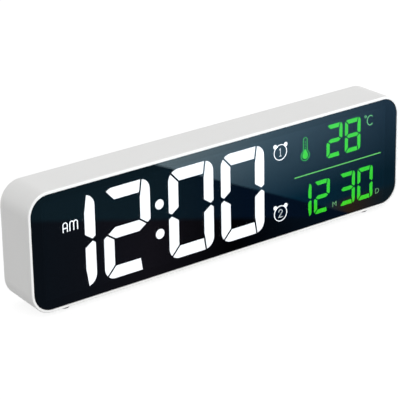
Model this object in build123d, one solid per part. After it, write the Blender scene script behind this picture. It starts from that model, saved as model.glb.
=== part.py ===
from build123d import *
import os
from math import atan2, cos, degrees, radians, sin

# A wide LED desk clock. Sizes are in millimetres. The display faces -Y, X runs to the
# right as seen from the front, Z is up, and the feet stand on Z = 0.

# Digits of the time, and the joints between their segments
DIGIT_HEIGHT = 39.4
DIGIT_WIDTH = 23.2
DIGIT_SIDE = 5.0
DIGIT_BAR = 5.3
DIGIT_MIDDLE = 4.8
DIGIT_CORNER = 5.0
DIGIT_JOINT = 0.8
DIGIT_TIP = 1.5
JOINT_LEAN = 9.0
DIGIT_GAP = 4.0
COLON_SPACE = 9.3
COLON_DIAMETER = 4.35
COLON_RISE = 6.5

# Small digits of temperature and date, and the rule between the two rows
SMALL_WIDTH = 9.05
SMALL_SIDE = 1.8
SMALL_BAR = 1.95
SMALL_MIDDLE = 1.8
SMALL_CORNER = 1.7
SMALL_JOINT = 0.5
SMALL_TIP = 0.6
SMALL_GAP = 1.45
SMALL_RISE = 4.5
RULE_LENGTH = 49.8
RULE_HEIGHT = 0.55
INFO_SPACE = 16.8
MONTH_INSET = 29.7
DAY_INSET = 4.6
TEMPERATURE_INSET = 12.2

# Reflector block, its wells and the lamps behind them
REFLECTOR_SIDE_MARGIN = 1.9
RULE_MARGIN = 2.4
DISPLAY_DROP = 0.5
REFLECTOR_EDGE = 1.35
REFLECTOR_DEPTH = 4.0
REFLECTOR_CORNER = 2.0
REFLECTOR_WEB = 0.9
DIFFUSER_THICKNESS = 1.0
PEG_DIAMETER = 2.0
PEG_RISE = 15.0
LED_SIZE = 2.8
LED_HEIGHT = 0.7
LED_SPREAD = 8.0
SMALL_LED_SIZE = 1.2
SMALL_LED_HEIGHT = 0.6
LED_CLEARANCE = 0.2

# Case, lens and the layers between them
SIDE_MARGIN = 7.0
TOP_MARGIN = 4.65
CASE_WALL = 2.0
CASE_CORNER = 9.5
BASE_RISE = 1.55
RIM_WIDTH = 1.3
RIM_ROUND = 0.45
BACK_ROUND = 1.0
LENS_CLEARANCE = 0.1
LENS_RECESS = 0.2
LENS_THICKNESS = 1.5
LENS_EDGE_ROUND = 0.15
MASK_THICKNESS = 0.2
MASK_LAP = 0.3
TAPE_THICKNESS = 0.2
LEDGE_THICKNESS = 1.5
WINDOW_CLEARANCE = 0.3
WINDOW_SIDE = 2.7

# Display board
BOARD_THICKNESS = 1.2
BOARD_EAR_HEIGHT = 9.0
BOARD_EAR_LENGTH = 4.0
BOARD_BOSS_DIAMETER = 4.0
BOARD_BOSS_OFFSET = 2.4
BOARD_GAP = 0.1
CHIP_LENGTH = 10.3
CHIP_WIDTH = 7.5
CHIP_HEIGHT = 2.2
CHIP_LEG_REACH = 1.2
CHIP_LEG_THICKNESS = 0.5
CHIP_LEGS = 7
CRYSTAL_LENGTH = 10.5
CRYSTAL_WIDTH = 4.2
CRYSTAL_HEIGHT = 3.0
CAPACITOR_DIAMETER = 6.3
CAPACITOR_HEIGHT = 7.0
CAPACITOR_BEVEL = 0.6
CAPACITOR_INSET = 13.0
SENSOR_DIAMETER = 2.4
SENSOR_LENGTH = 3.5
SENSOR_LEAD = 0.5
SENSOR_REACH = 6.0
SENSOR_INSET = 10.0
SENSOR_DROP = 6.0

# Cells, their bay, contacts and door
CELL_DIAMETER = 10.5
CELL_LENGTH = 44.5
CELL_NUB_DIAMETER = 3.8
CELL_NUB_LENGTH = 1.0
CELL_BEVEL = 0.4
CELL_PITCH = 11.0
CELL_CLEARANCE = 0.2
CONTACT_THICKNESS = 0.4
CONTACT_WIDTH = 8.6
CONTACT_HEIGHT = 8.2
CONTACT_TAIL = 2.0
CONTACT_CLEARANCE = 0.1
LEAF_RADIUS = 3.5
LEAF_RISE = 3.2
LEAF_WIDTH = 5.6
BAY_WALL = 1.2
BAY_FLOOR = 0.8
CRADLE_HEIGHT = 2.0
CRADLE_WIDTH = 1.0
DOOR_THICKNESS = 1.4
DOOR_LAP = 1.4
DOOR_GAP = 0.2
DOOR_CORNER = 1.5
DOOR_TAB_WIDTH = 5.0
DOOR_TAB_THICKNESS = 0.9
DOOR_TAB_REACH = 1.6
DOOR_TAB_ROOT = 1.1
DOOR_TAB_SWING = 3.4
DOOR_TAB_GAP = 0.1
LATCH_WIDTH = 9.0
LATCH_THICKNESS = 0.8
LATCH_DEPTH = 1.9
LATCH_SPACE = 0.6
GRIP_LENGTH = 12.0
GRIP_WIDTH = 0.9
GRIP_DEPTH = 0.4
GRIP_PITCH = 2.2
GRIP_COUNT = 3
GRIP_INSET = 4.0
THUMB_RADIUS = 6.0
THUMB_DEPTH = 0.8

# Rear cover and its screws
COVER_WALL = 1.8
COVER_RECESS = 0.2
COVER_CLEARANCE = 0.2
COVER_EDGE_ROUND = 0.4
COVER_BOSS_DIAMETER = 6.0
COVER_BOSS_INSET = 6.5
COVER_BOSS_RISE = 13.5
COVER_BOSS_GAP = 0.3
BOSS_WEB = 1.6
SCREW_SHANK = 2.6
SCREW_HEAD = 5.0
SCREW_HEAD_HEIGHT = 1.1
SCREW_CROSS = 2.8
SCREW_CROSS_WIDTH = 0.6
SCREW_CROSS_DEPTH = 0.6
SCREW_LENGTH = 9.0
SCREW_CLEARANCE = 0.05
SCREW_HEAD_ROOM = 0.3
BOARD_SCREW_SHANK = 2.0
BOARD_SCREW_HEAD = 3.6
BOARD_SCREW_HEAD_HEIGHT = 0.9
BOARD_SCREW_BITE = 2.0
VENT_COUNT = 3
VENT_PITCH = 3.0
VENT_WIDTH = 1.4
VENT_HEIGHT = 9.0

# Keys, their switches and the rear board
KEY_NAMES = ("mode", "set", "up", "down", "alarm")
KEY_SPACE = 3.0
KEY_ROW = 8.0
KEY_DIAMETER = 7.0
KEY_PROUD = 0.8
KEY_ROUND = 0.5
KEY_CLEARANCE = 0.2
KEY_RECESS = 1.0
KEY_RECESS_MARGIN = 2.2
KEY_FLANGE_LIP = 1.0
KEY_FLANGE_THICKNESS = 0.8
KEY_FLANGE_GAP = 0.1
KEY_STEM = 3.0
KEY_STEM_LENGTH = 0.6
SWITCH_SIZE = 6.0
SWITCH_HEIGHT = 3.6
PLUNGER_DIAMETER = 3.4
PLUNGER_PROUD = 1.2
PLUNGER_INSIDE = 1.0
PLUNGER_ROOM = 0.8
PLUNGER_CLEARANCE = 0.1
REAR_BOARD_EDGE = 4.0
REAR_BOARD_GAP = 1.025
REAR_BOARD_TOP = 6.0
REAR_BOARD_BOTTOM = -16.5
POST_DIAMETER = 5.0
POST_OFFSET = 2.5
POST_ROWS = (-1.5, -13.0)
HEADER_LENGTH = 20.3
HEADER_WIDTH = 2.5
HEADER_ROW = -6.0

# Power socket
SOCKET_WIDTH = 7.6
SOCKET_HEIGHT = 2.9
SOCKET_TAPER = 1.1
SOCKET_WALL = 0.3
SOCKET_ROW = -9.0
SOCKET_INSET = 0.3
SOCKET_BASE = 2.0
SOCKET_TONGUE_WIDTH = 4.2
SOCKET_TONGUE_THICKNESS = 0.6
SOCKET_TONGUE_INSET = 1.2
SOCKET_CLEARANCE = 0.3
PLUG_RECESS_WIDTH = 11.0
PLUG_RECESS_HEIGHT = 7.0
PLUG_RECESS_DEPTH = 0.7

# Speaker
SPEAKER_DIAMETER = 28.0
SPEAKER_FLANGE = 1.2
SPEAKER_FLANGE_WIDTH = 2.0
SPEAKER_BASKET_DEPTH = 4.0
SPEAKER_BASE_DIAMETER = 18.0
SPEAKER_WALL = 0.8
SPEAKER_CONE_WALL = 0.5
SPEAKER_CONE_DEPTH = 2.2
SPEAKER_DOME_DIAMETER = 8.0
MAGNET_DIAMETER = 13.0
MAGNET_HEIGHT = 2.4
GASKET_THICKNESS = 0.5
RING_WALL = 1.3
RING_HEIGHT = 2.0
RING_CLEARANCE = 0.2
GRILLE_HOLE = 1.7
GRILLE_PITCH = 3.3
GRILLE_RINGS = 3
LEAD_DIAMETER = 1.0
LEAD_SPACING = 3.0

# Feet
FOOT_DIAMETER = 5.5
FOOT_PROUD = 1.4
FOOT_SEAT = 0.6
FOOT_CLEARANCE = 0.05
FOOT_BEVEL = 0.4
FOOT_SIDE_INSET = 17.5
FOOT_FRONT_INSET = 4.6
FOOT_REAR_INSET = 4.6

# Widths and heights that follow from the display
TIME_WIDTH = 4 * DIGIT_WIDTH + 2 * DIGIT_GAP + COLON_SPACE
REFLECTOR_WIDTH = REFLECTOR_SIDE_MARGIN + TIME_WIDTH + INFO_SPACE + RULE_LENGTH + RULE_MARGIN
REFLECTOR_HEIGHT = DIGIT_HEIGHT + 2 * REFLECTOR_EDGE
CASE_WIDTH = REFLECTOR_WIDTH + 2 * SIDE_MARGIN
CASE_HEIGHT = REFLECTOR_HEIGHT + 2 * TOP_MARGIN
LENS_WIDTH = CASE_WIDTH - 2 * RIM_WIDTH
LENS_HEIGHT = CASE_HEIGHT - 2 * RIM_WIDTH
LENS_CORNER = CASE_CORNER - RIM_WIDTH
CAVITY_WIDTH = CASE_WIDTH - 2 * CASE_WALL
CAVITY_HEIGHT = CASE_HEIGHT - 2 * CASE_WALL
CAVITY_CORNER = CASE_CORNER - CASE_WALL
WINDOW_WIDTH = REFLECTOR_WIDTH + 2 * WINDOW_SIDE
WINDOW_HEIGHT = REFLECTOR_HEIGHT + 2 * WINDOW_CLEARANCE
WINDOW_CORNER = REFLECTOR_CORNER + WINDOW_CLEARANCE
CASE_CENTRE = FOOT_PROUD + CASE_HEIGHT / 2

# Depths behind the rim, from the front to the back
LENS_BACK = LENS_RECESS + LENS_THICKNESS
MASK_BACK = LENS_BACK + MASK_THICKNESS
LEDGE_FRONT = MASK_BACK + TAPE_THICKNESS
LEDGE_BACK = LEDGE_FRONT + LEDGE_THICKNESS
REFLECTOR_BACK = MASK_BACK + REFLECTOR_DEPTH
BOARD_BACK = REFLECTOR_BACK + BOARD_THICKNESS
FLOOR_FRONT = BOARD_BACK + BOARD_GAP
FLOOR_BACK = FLOOR_FRONT + BAY_FLOOR
CELL_AXIS = FLOOR_BACK + CELL_CLEARANCE + CELL_DIAMETER / 2
DOOR_FRONT = FLOOR_BACK + CELL_DIAMETER + 2 * CELL_CLEARANCE
COVER_BACK = DOOR_FRONT + DOOR_THICKNESS
COVER_FRONT = COVER_BACK - COVER_WALL
CASE_DEPTH = COVER_BACK + COVER_RECESS
KEY_SEAT = COVER_BACK - KEY_RECESS
FLANGE_BACK = COVER_FRONT - KEY_FLANGE_GAP
FLANGE_FRONT = FLANGE_BACK - KEY_FLANGE_THICKNESS
PLUNGER_TIP = FLANGE_FRONT - KEY_STEM_LENGTH
SWITCH_BACK = PLUNGER_TIP - PLUNGER_PROUD
REAR_BOARD_BACK = SWITCH_BACK - SWITCH_HEIGHT
REAR_BOARD_FRONT = REAR_BOARD_BACK - BOARD_THICKNESS

# Places across the display, from its middle
TIME_LEFT = REFLECTOR_SIDE_MARGIN - REFLECTOR_WIDTH / 2
TIME_STEP = DIGIT_WIDTH + DIGIT_GAP
MINUTES_LEFT = TIME_LEFT + 2 * DIGIT_WIDTH + DIGIT_GAP + COLON_SPACE
COLON_X = MINUTES_LEFT - COLON_SPACE / 2
RULE_RIGHT = REFLECTOR_WIDTH / 2 - RULE_MARGIN
RULE_X = RULE_RIGHT - RULE_LENGTH / 2
ICON_X = RULE_RIGHT - RULE_LENGTH - INFO_SPACE / 2
SMALL_HEIGHT = DIGIT_HEIGHT / 2 - SMALL_RISE
SMALL_ROW = SMALL_RISE + SMALL_HEIGHT / 2

# Places across the back, from its middle
BAY_LENGTH = CELL_LENGTH + LEAF_RISE + 2 * CONTACT_THICKNESS
BAY_HEIGHT = 3 * CELL_PITCH + 2 * CELL_CLEARANCE
DOOR_LENGTH = BAY_LENGTH + 2 * DOOR_LAP
DOOR_HEIGHT = BAY_HEIGHT + 2 * DOOR_LAP
SIDE_CENTRE = (BAY_LENGTH / 2 + BAY_WALL + CAVITY_WIDTH / 2) / 2
KEY_PITCH = KEY_DIAMETER + KEY_SPACE
KEY_FLANGE = KEY_DIAMETER + 2 * KEY_FLANGE_LIP
KEY_ROW_HALF = (len(KEY_NAMES) - 1) / 2 * KEY_PITCH
POST_SPREAD = KEY_ROW_HALF + POST_OFFSET
REAR_BOARD_WIDTH = 2 * (POST_SPREAD + REAR_BOARD_EDGE)
COVER_BOSS_X = CASE_WIDTH / 2 - COVER_BOSS_INSET
KEYS_X = COVER_BOSS_X - COVER_BOSS_DIAMETER / 2 - REAR_BOARD_GAP - REAR_BOARD_WIDTH / 2
BOARD_BOSS_X = REFLECTOR_WIDTH / 2 + BOARD_BOSS_OFFSET
FOOT_X = CASE_WIDTH / 2 - FOOT_SIDE_INSET
SENSOR_X = -(CAVITY_WIDTH / 2 - SENSOR_INSET)
CAPACITOR_X = -(CAVITY_WIDTH / 2 - CAPACITOR_INSET)
CELL_ROWS = (CELL_PITCH, 0.0, -CELL_PITCH)
CELL_SENSES = (1, -1, 1)
COVER_BOSSES = [(x, z) for x in (-COVER_BOSS_X, COVER_BOSS_X) for z in (-COVER_BOSS_RISE, COVER_BOSS_RISE)]
POSTS = [(KEYS_X + side * POST_SPREAD, row) for side in (-1, 1) for row in POST_ROWS]

# Segments that light for each figure, and what the display shows
LIT_LETTERS = {
    "0": "abcdef", "1": "bc", "2": "abdeg", "3": "abcdg", "4": "bcfg",
    "5": "acdfg", "6": "acdefg", "7": "abc", "8": "abcdefg", "9": "abcdfg",
}
TIME_SHOWN = "12:00"
TEMPERATURE_SHOWN = "28 C"
MONTH_SHOWN = "12 M"
DAY_SHOWN = "30 D"
LEVEL_LETTERS = "adg"


def at_depth(depth):
    """Return the front-facing plane at a depth behind the rim, centred on the case."""
    origin = (0, depth - CASE_DEPTH / 2, CASE_CENTRE)
    return Plane(origin=origin, x_dir=(1, 0, 0), z_dir=(0, -1, 0))


def slab(outline, near, far):
    """Return a front-view outline made solid between two depths."""
    return extrude(at_depth(far) * outline, amount=far - near)


def base_lift(depth):
    """Return how far the sloping underside has risen at a depth."""
    return BASE_RISE * depth / CASE_DEPTH


def risen_outline(width, height, corner, depth):
    """Return a rounded front-view outline with its lower edge raised as the underside is at a depth."""
    lift = base_lift(depth)
    return Pos(0, lift / 2) * RectangleRounded(width, height - lift, corner)


def risen_slab(width, height, corner, near, far):
    """Return a rounded block between two depths whose underside slopes up to the back."""
    ends = [at_depth(depth) * risen_outline(width, height, corner, depth) for depth in (near, far)]
    return loft(ends, ruled=True)


def rod(x, z, diameter, near, far):
    """Return a round bar that runs from front to back."""
    return slab(Pos(x, z) * Circle(diameter / 2), near, far)


def block(x, z, width, height, near, far):
    """Return a rectangular block between two depths."""
    return slab(Pos(x, z) * Rectangle(width, height), near, far)


def turned(profile, x, z):
    """Return the solid that a profile of radius and depth sweeps about a front-to-back axis."""
    origin = (x, -CASE_DEPTH / 2, CASE_CENTRE + z)
    plane = Plane(origin=origin, x_dir=(1, 0, 0), z_dir=(0, 0, 1))
    face = plane * make_face(Polyline(*profile, close=True).edges())
    return revolve(face, Axis(origin, (0, 1, 0)))


def joint_strip(start, end, width):
    """Return the thin cut between two segments, run on past both of its ends."""
    run = Vector(*end) - Vector(*start)
    middle = Vector(*start) + run * 0.5
    turn = Rot(0, 0, degrees(atan2(run.Y, run.X)))
    return Pos(middle.X, middle.Y) * turn * Rectangle(run.length + 4 * width, width)


def segment_places(height, width, side, bar):
    """Return the middle of each of a digit's seven segments."""
    out = width / 2 - side / 2
    top = height / 2 - bar / 2
    half = height / 4
    places = {"a": (0, top), "b": (out, half), "c": (out, -half), "d": (0, -top)}
    places.update({"e": (-out, -half), "f": (-out, half), "g": (0, 0)})
    return places


def digit_segments(height, width, side, bar, middle, corner, joint, tip):
    """Return the outlines of a digit's seven segments, by letter, round the digit's middle."""
    hole_right = width / 2 - side
    hole_top = height / 2 - bar
    hole_bottom = middle / 2
    hole = Rectangle(2 * hole_right, hole_top - hole_bottom)
    hole_row = (hole_top + hole_bottom) / 2
    figure = RectangleRounded(width, height, corner)
    crossing = width / 2 - tip
    overrun = tip * hole_bottom / (crossing - hole_right)
    mitre = corner * (1 - 0.5 ** 0.5)
    lean_x = width / 2 - corner * (1 - sin(radians(JOINT_LEAN)))
    lean_z = height / 2 - corner * (1 - cos(radians(JOINT_LEAN)))
    cuts = []
    for up in (1, -1):
        cuts.append(Pos(0, up * hole_row) * hole)
        inner_left = (-hole_right, up * hole_top)
        inner_right = (hole_right, up * hole_top)
        outer_left = (mitre - width / 2, up * (height / 2 - mitre))
        outer_right = (lean_x, up * lean_z)
        cuts.append(joint_strip(inner_left, outer_left, joint))
        cuts.append(joint_strip(inner_right, outer_right, joint))
        for out in (1, -1):
            waist_inner = (out * hole_right, up * hole_bottom)
            waist_outer = (out * width / 2, -up * overrun)
            cuts.append(joint_strip(waist_inner, waist_outer, joint))
    faces = (figure - cuts).faces()
    segments = {}
    for letter, place in segment_places(height, width, side, bar).items():
        target = Vector(*place)
        segments[letter] = Sketch() + min(faces, key=lambda face: (face.center() - target).length)
    return segments


def time_digit_places():
    """Return the figure and the middle of each digit of the time."""
    lefts = (TIME_LEFT, TIME_LEFT + TIME_STEP, MINUTES_LEFT, MINUTES_LEFT + TIME_STEP)
    figures = TIME_SHOWN.replace(":", "")
    return [(figure, left + DIGIT_WIDTH / 2, -DISPLAY_DROP) for figure, left in zip(figures, lefts)]


def small_digit_places():
    """Return the figure and the middle of each small digit."""
    rows = (
        (TEMPERATURE_SHOWN, TEMPERATURE_INSET, SMALL_ROW - DISPLAY_DROP),
        (MONTH_SHOWN, MONTH_INSET, -SMALL_ROW - DISPLAY_DROP),
        (DAY_SHOWN, DAY_INSET, -SMALL_ROW - DISPLAY_DROP),
    )
    places = []
    for shown, inset, row in rows:
        last = RULE_RIGHT - inset - SMALL_WIDTH / 2
        first = last - SMALL_WIDTH - SMALL_GAP
        places += [(shown[0], first, row), (shown[1], last, row)]
    return places


def display_outlines():
    """Return the outlines of the white, green and dark segments of the display."""
    big = digit_segments(
        DIGIT_HEIGHT, DIGIT_WIDTH, DIGIT_SIDE, DIGIT_BAR, DIGIT_MIDDLE, DIGIT_CORNER, DIGIT_JOINT, DIGIT_TIP
    )
    small = digit_segments(
        SMALL_HEIGHT, SMALL_WIDTH, SMALL_SIDE, SMALL_BAR, SMALL_MIDDLE, SMALL_CORNER, SMALL_JOINT, SMALL_TIP
    )
    groups = {"white": [], "green": [], "dark": []}
    for colour, kit, places in (("white", big, time_digit_places()), ("green", small, small_digit_places())):
        for figure, x, z in places:
            for letter, outline in kit.items():
                group = colour if letter in LIT_LETTERS[figure] else "dark"
                groups[group].append(Pos(x, z) * outline)
    for up in (1, -1):
        groups["white"].append(Pos(COLON_X, up * COLON_RISE - DISPLAY_DROP) * Circle(COLON_DIAMETER / 2))
    groups["green"].append(Pos(RULE_X, -DISPLAY_DROP) * Rectangle(RULE_LENGTH, RULE_HEIGHT))
    return groups


def lamp_places():
    """Return the places of the white lamps and of the green lamps."""
    white = [(COLON_X, up * COLON_RISE - DISPLAY_DROP) for up in (1, -1)]
    big = segment_places(DIGIT_HEIGHT, DIGIT_WIDTH, DIGIT_SIDE, DIGIT_BAR)
    for _, x, z in time_digit_places():
        for letter, (along, up) in big.items():
            for sense in (-0.5, 0.5):
                shift = sense * LED_SPREAD
                level = letter in LEVEL_LETTERS
                white.append((x + along + (shift if level else 0), z + up + (0 if level else shift)))
    green = [(RULE_X + third * RULE_LENGTH / 3, -DISPLAY_DROP) for third in (-1, 0, 1)]
    small = segment_places(SMALL_HEIGHT, SMALL_WIDTH, SMALL_SIDE, SMALL_BAR)
    for _, x, z in small_digit_places():
        green += [(x + along, z + up) for along, up in small.values()]
    return white, green


def squares(places, size):
    """Return one sketch of equal squares at the given places."""
    return Sketch() + [Pos(x, z) * Rectangle(size, size) for x, z in places]


OUTLINES = display_outlines()
WHITE_LAMPS, GREEN_LAMPS = lamp_places()
PEGS = [(x, up * PEG_RISE) for x in (COLON_X, ICON_X) for up in (1, -1)]
CHIP_PLACES = {"driver_chip": (-SIDE_CENTRE, PEG_RISE), "clock_chip": (KEYS_X, CHIP_WIDTH / 2)}


def case_shell():
    """Return the moulded case: a tube with a lens rim, a ledge, bosses and foot seats."""
    shell = risen_slab(CASE_WIDTH, CASE_HEIGHT, CASE_CORNER, 0, CASE_DEPTH)
    shell = fillet(shell.edges().group_by(Axis.Y)[0], RIM_ROUND)
    shell = fillet(shell.edges().group_by(Axis.Y)[-1], BACK_ROUND)
    spread = 2 * LENS_CLEARANCE
    pocket = RectangleRounded(LENS_WIDTH + spread, LENS_HEIGHT + spread, LENS_CORNER + LENS_CLEARANCE)
    window = RectangleRounded(WINDOW_WIDTH, WINDOW_HEIGHT, WINDOW_CORNER)
    shell -= slab(pocket, 0, LEDGE_FRONT)
    shell -= slab(window, LEDGE_FRONT, LEDGE_BACK)
    shell -= risen_slab(CAVITY_WIDTH, CAVITY_HEIGHT, CAVITY_CORNER, LEDGE_BACK, CASE_DEPTH)
    boss_front = BOARD_BACK + COVER_BOSS_GAP
    pilot = SCREW_SHANK + 2 * SCREW_CLEARANCE
    pilot_front = COVER_FRONT - SCREW_LENGTH
    for x, z in COVER_BOSSES:
        side = 1 if x > 0 else -1
        reach = CAVITY_WIDTH / 2 - abs(x)
        shell += rod(x, z, COVER_BOSS_DIAMETER, boss_front, COVER_FRONT)
        shell += block(x + side * reach / 2, z, reach, BOSS_WEB, boss_front, COVER_FRONT)
    for x, z in COVER_BOSSES:
        shell -= rod(x, z, pilot, pilot_front, COVER_FRONT)
    for x in (-BOARD_BOSS_X, BOARD_BOSS_X):
        shell += rod(x, 0, BOARD_BOSS_DIAMETER, LEDGE_FRONT, REFLECTOR_BACK)
        shell -= rod(x, 0, BOARD_SCREW_SHANK + 2 * SCREW_CLEARANCE, LEDGE_BACK, REFLECTOR_BACK)
    seat = FOOT_DIAMETER + 2 * FOOT_CLEARANCE
    for x, y in foot_places():
        shell -= extrude(Plane(origin=(x, y, 0)) * Circle(seat / 2), amount=foot_length(y))
    return shell


def foot_places():
    """Return the middles of the four feet: front left, front right, rear left, rear right."""
    front = FOOT_FRONT_INSET - CASE_DEPTH / 2
    rear = CASE_DEPTH / 2 - FOOT_REAR_INSET
    return [(-FOOT_X, front), (FOOT_X, front), (-FOOT_X, rear), (FOOT_X, rear)]


def foot_length(y):
    """Return the length of a foot that reaches from the table into its seat in the underside."""
    return FOOT_PROUD + base_lift(y + CASE_DEPTH / 2) + FOOT_SEAT


def rubber_foot(place):
    """Return one round rubber foot, seated in the underside of the case."""
    base = Plane(origin=(place[0], place[1], 0))
    foot = extrude(base * Circle(FOOT_DIAMETER / 2), amount=foot_length(place[1]))
    return chamfer(foot.edges().group_by(Axis.Z)[0], FOOT_BEVEL)


def front_lens():
    """Return the smoked lens."""
    lens = slab(RectangleRounded(LENS_WIDTH, LENS_HEIGHT, LENS_CORNER), LENS_RECESS, LENS_BACK)
    return fillet(lens.edges().group_by(Axis.Y)[0], LENS_EDGE_ROUND)


def lens_mask():
    """Return the black film behind the lens, open over the display."""
    opening = Rectangle(REFLECTOR_WIDTH - 2 * MASK_LAP, REFLECTOR_HEIGHT - 2 * MASK_LAP)
    return slab(RectangleRounded(LENS_WIDTH, LENS_HEIGHT, LENS_CORNER) - opening, LENS_BACK, MASK_BACK)


def lens_tape():
    """Return the adhesive frame that holds the lens to the ledge."""
    window = RectangleRounded(WINDOW_WIDTH, WINDOW_HEIGHT, WINDOW_CORNER)
    return slab(RectangleRounded(LENS_WIDTH, LENS_HEIGHT, LENS_CORNER) - window, MASK_BACK, LEDGE_FRONT)


def reflector_block():
    """Return the light box: a well for each segment, a lamp window behind it, and board pegs."""
    web_front = REFLECTOR_BACK - REFLECTOR_WEB
    wells = Sketch() + [outline for group in OUTLINES.values() for outline in group]
    windows = squares(WHITE_LAMPS, LED_SIZE + 2 * LED_CLEARANCE)
    windows += squares(GREEN_LAMPS, SMALL_LED_SIZE + 2 * LED_CLEARANCE)
    face = RectangleRounded(REFLECTOR_WIDTH, REFLECTOR_HEIGHT, REFLECTOR_CORNER)
    box = slab(face, MASK_BACK, REFLECTOR_BACK)
    box -= slab(wells, MASK_BACK, web_front)
    box -= slab(windows, web_front, REFLECTOR_BACK)
    for x, z in PEGS:
        box += rod(x, z, PEG_DIAMETER, REFLECTOR_BACK, BOARD_BACK)
    return box


def diffusers(group):
    """Return the diffuser inserts of one group of segments, flush with the light box."""
    return slab(Sketch() + OUTLINES[group], MASK_BACK, MASK_BACK + DIFFUSER_THICKNESS)


def lamps(places, size, height):
    """Return the lamp chips that stand on the front of the display board."""
    return slab(squares(places, size), REFLECTOR_BACK - height, REFLECTOR_BACK)


def display_board():
    """Return the board that carries the lamps, with an ear at each end for its screw."""
    ear_reach = REFLECTOR_WIDTH + 2 * BOARD_EAR_LENGTH
    outline = RectangleRounded(REFLECTOR_WIDTH, REFLECTOR_HEIGHT, REFLECTOR_CORNER)
    outline += RectangleRounded(ear_reach, BOARD_EAR_HEIGHT, REFLECTOR_CORNER)
    outline -= [Pos(x, z) * Circle(PEG_DIAMETER / 2 + SCREW_CLEARANCE) for x, z in PEGS]
    screw_hole = Circle(BOARD_SCREW_SHANK / 2 + SCREW_CLEARANCE)
    outline -= [Pos(x, 0) * screw_hole for x in (-BOARD_BOSS_X, BOARD_BOSS_X)]
    return slab(outline, REFLECTOR_BACK, BOARD_BACK)


def chip(name):
    """Return a chip with its two rows of legs on the back of the display board."""
    x, z = CHIP_PLACES[name]
    body = block(x, z, CHIP_LENGTH, CHIP_WIDTH, BOARD_BACK, BOARD_BACK + CHIP_HEIGHT)
    leg_pitch = CHIP_LENGTH / CHIP_LEGS
    reach = CHIP_WIDTH + 2 * CHIP_LEG_REACH
    for index in range(CHIP_LEGS):
        along = x + (index - (CHIP_LEGS - 1) / 2) * leg_pitch
        body += block(along, z, leg_pitch / 2, reach, BOARD_BACK, BOARD_BACK + CHIP_LEG_THICKNESS)
    return body


def crystal():
    """Return the quartz crystal's can, lying beside the clock chip."""
    x, z = CHIP_PLACES["clock_chip"]
    can = Pos(x + CHIP_LENGTH + CRYSTAL_LENGTH / 2, z) * SlotOverall(CRYSTAL_LENGTH, CRYSTAL_WIDTH)
    return slab(can, BOARD_BACK, BOARD_BACK + CRYSTAL_HEIGHT)


def capacitor():
    """Return the smoothing capacitor that stands on the back of the display board."""
    can = rod(CAPACITOR_X, PEG_RISE, CAPACITOR_DIAMETER, BOARD_BACK, BOARD_BACK + CAPACITOR_HEIGHT)
    return chamfer(can.edges().group_by(Axis.Y)[-1], CAPACITOR_BEVEL)


def temperature_sensor():
    """Return the bead that reads the room's temperature, on two leads behind the vents."""
    bead_front = BOARD_BACK + SENSOR_REACH
    sensor = rod(SENSOR_X, -SENSOR_DROP, SENSOR_DIAMETER, bead_front, bead_front + SENSOR_LENGTH)
    for side in (-1, 1):
        lead_x = SENSOR_X + side * SENSOR_DIAMETER / 4
        sensor += rod(lead_x, -SENSOR_DROP, SENSOR_LEAD, BOARD_BACK, bead_front)
    return sensor


def screw(x, z, seat, toward, shank, head, head_height, length):
    """Return a pan-head screw whose head bears on a depth and whose shank runs to the front or back."""
    end = seat + toward * length
    top = seat - toward * head_height
    profile = ((0, top), (head / 2, top), (head / 2, seat), (shank / 2, seat), (shank / 2, end), (0, end))
    body = turned(profile, x, z)
    cross_bottom = top + toward * SCREW_CROSS_DEPTH
    near, far = min(top, cross_bottom), max(top, cross_bottom)
    reach = min(SCREW_CROSS, head - 2 * SCREW_CROSS_WIDTH)
    body -= block(x, z, reach, SCREW_CROSS_WIDTH, near, far)
    body -= block(x, z, SCREW_CROSS_WIDTH, reach, near, far)
    return body


def cover_screws():
    """Return the four screws that hold the rear cover, with their heads sunk in it."""
    seat = COVER_BACK - SCREW_HEAD_HEIGHT - SCREW_HEAD_ROOM
    length = seat - COVER_FRONT + SCREW_LENGTH - SCREW_HEAD_ROOM
    group = [
        screw(x, z, seat, -1, SCREW_SHANK, SCREW_HEAD, SCREW_HEAD_HEIGHT, length) for x, z in COVER_BOSSES
    ]
    return Part() + group


def board_screws():
    """Return the two screws through the ears of the display board."""
    length = BOARD_THICKNESS + BOARD_SCREW_BITE
    sizes = (BOARD_SCREW_SHANK, BOARD_SCREW_HEAD, BOARD_SCREW_HEAD_HEIGHT, length)
    return Part() + [screw(x, 0, BOARD_BACK, -1, *sizes) for x in (-BOARD_BOSS_X, BOARD_BOSS_X)]


def rear_board_screws():
    """Return the four screws that hold the rear board to the posts of the cover."""
    length = BOARD_THICKNESS + BOARD_SCREW_BITE
    sizes = (BOARD_SCREW_SHANK, BOARD_SCREW_HEAD, BOARD_SCREW_HEAD_HEIGHT, length)
    return Part() + [screw(x, z, REAR_BOARD_FRONT, 1, *sizes) for x, z in POSTS]


def rear_board():
    """Return the small board that carries the switches and the power socket."""
    top = KEY_ROW + REAR_BOARD_TOP
    height = top - REAR_BOARD_BOTTOM
    middle = (top + REAR_BOARD_BOTTOM) / 2
    outline = Pos(KEYS_X, middle) * RectangleRounded(REAR_BOARD_WIDTH, height, REFLECTOR_CORNER)
    hole = Circle(BOARD_SCREW_SHANK / 2 + SCREW_CLEARANCE)
    outline -= [Pos(x, z) * hole for x, z in POSTS]
    return slab(outline, REAR_BOARD_FRONT, REAR_BOARD_BACK)


def board_header():
    """Return the pin header that joins the rear board to the display board."""
    return block(KEYS_X, HEADER_ROW, HEADER_LENGTH, HEADER_WIDTH, BOARD_BACK, REAR_BOARD_FRONT)


def key_places():
    """Return the middle of each key along its row."""
    first = KEYS_X - KEY_ROW_HALF
    return [first + index * KEY_PITCH for index in range(len(KEY_NAMES))]


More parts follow.
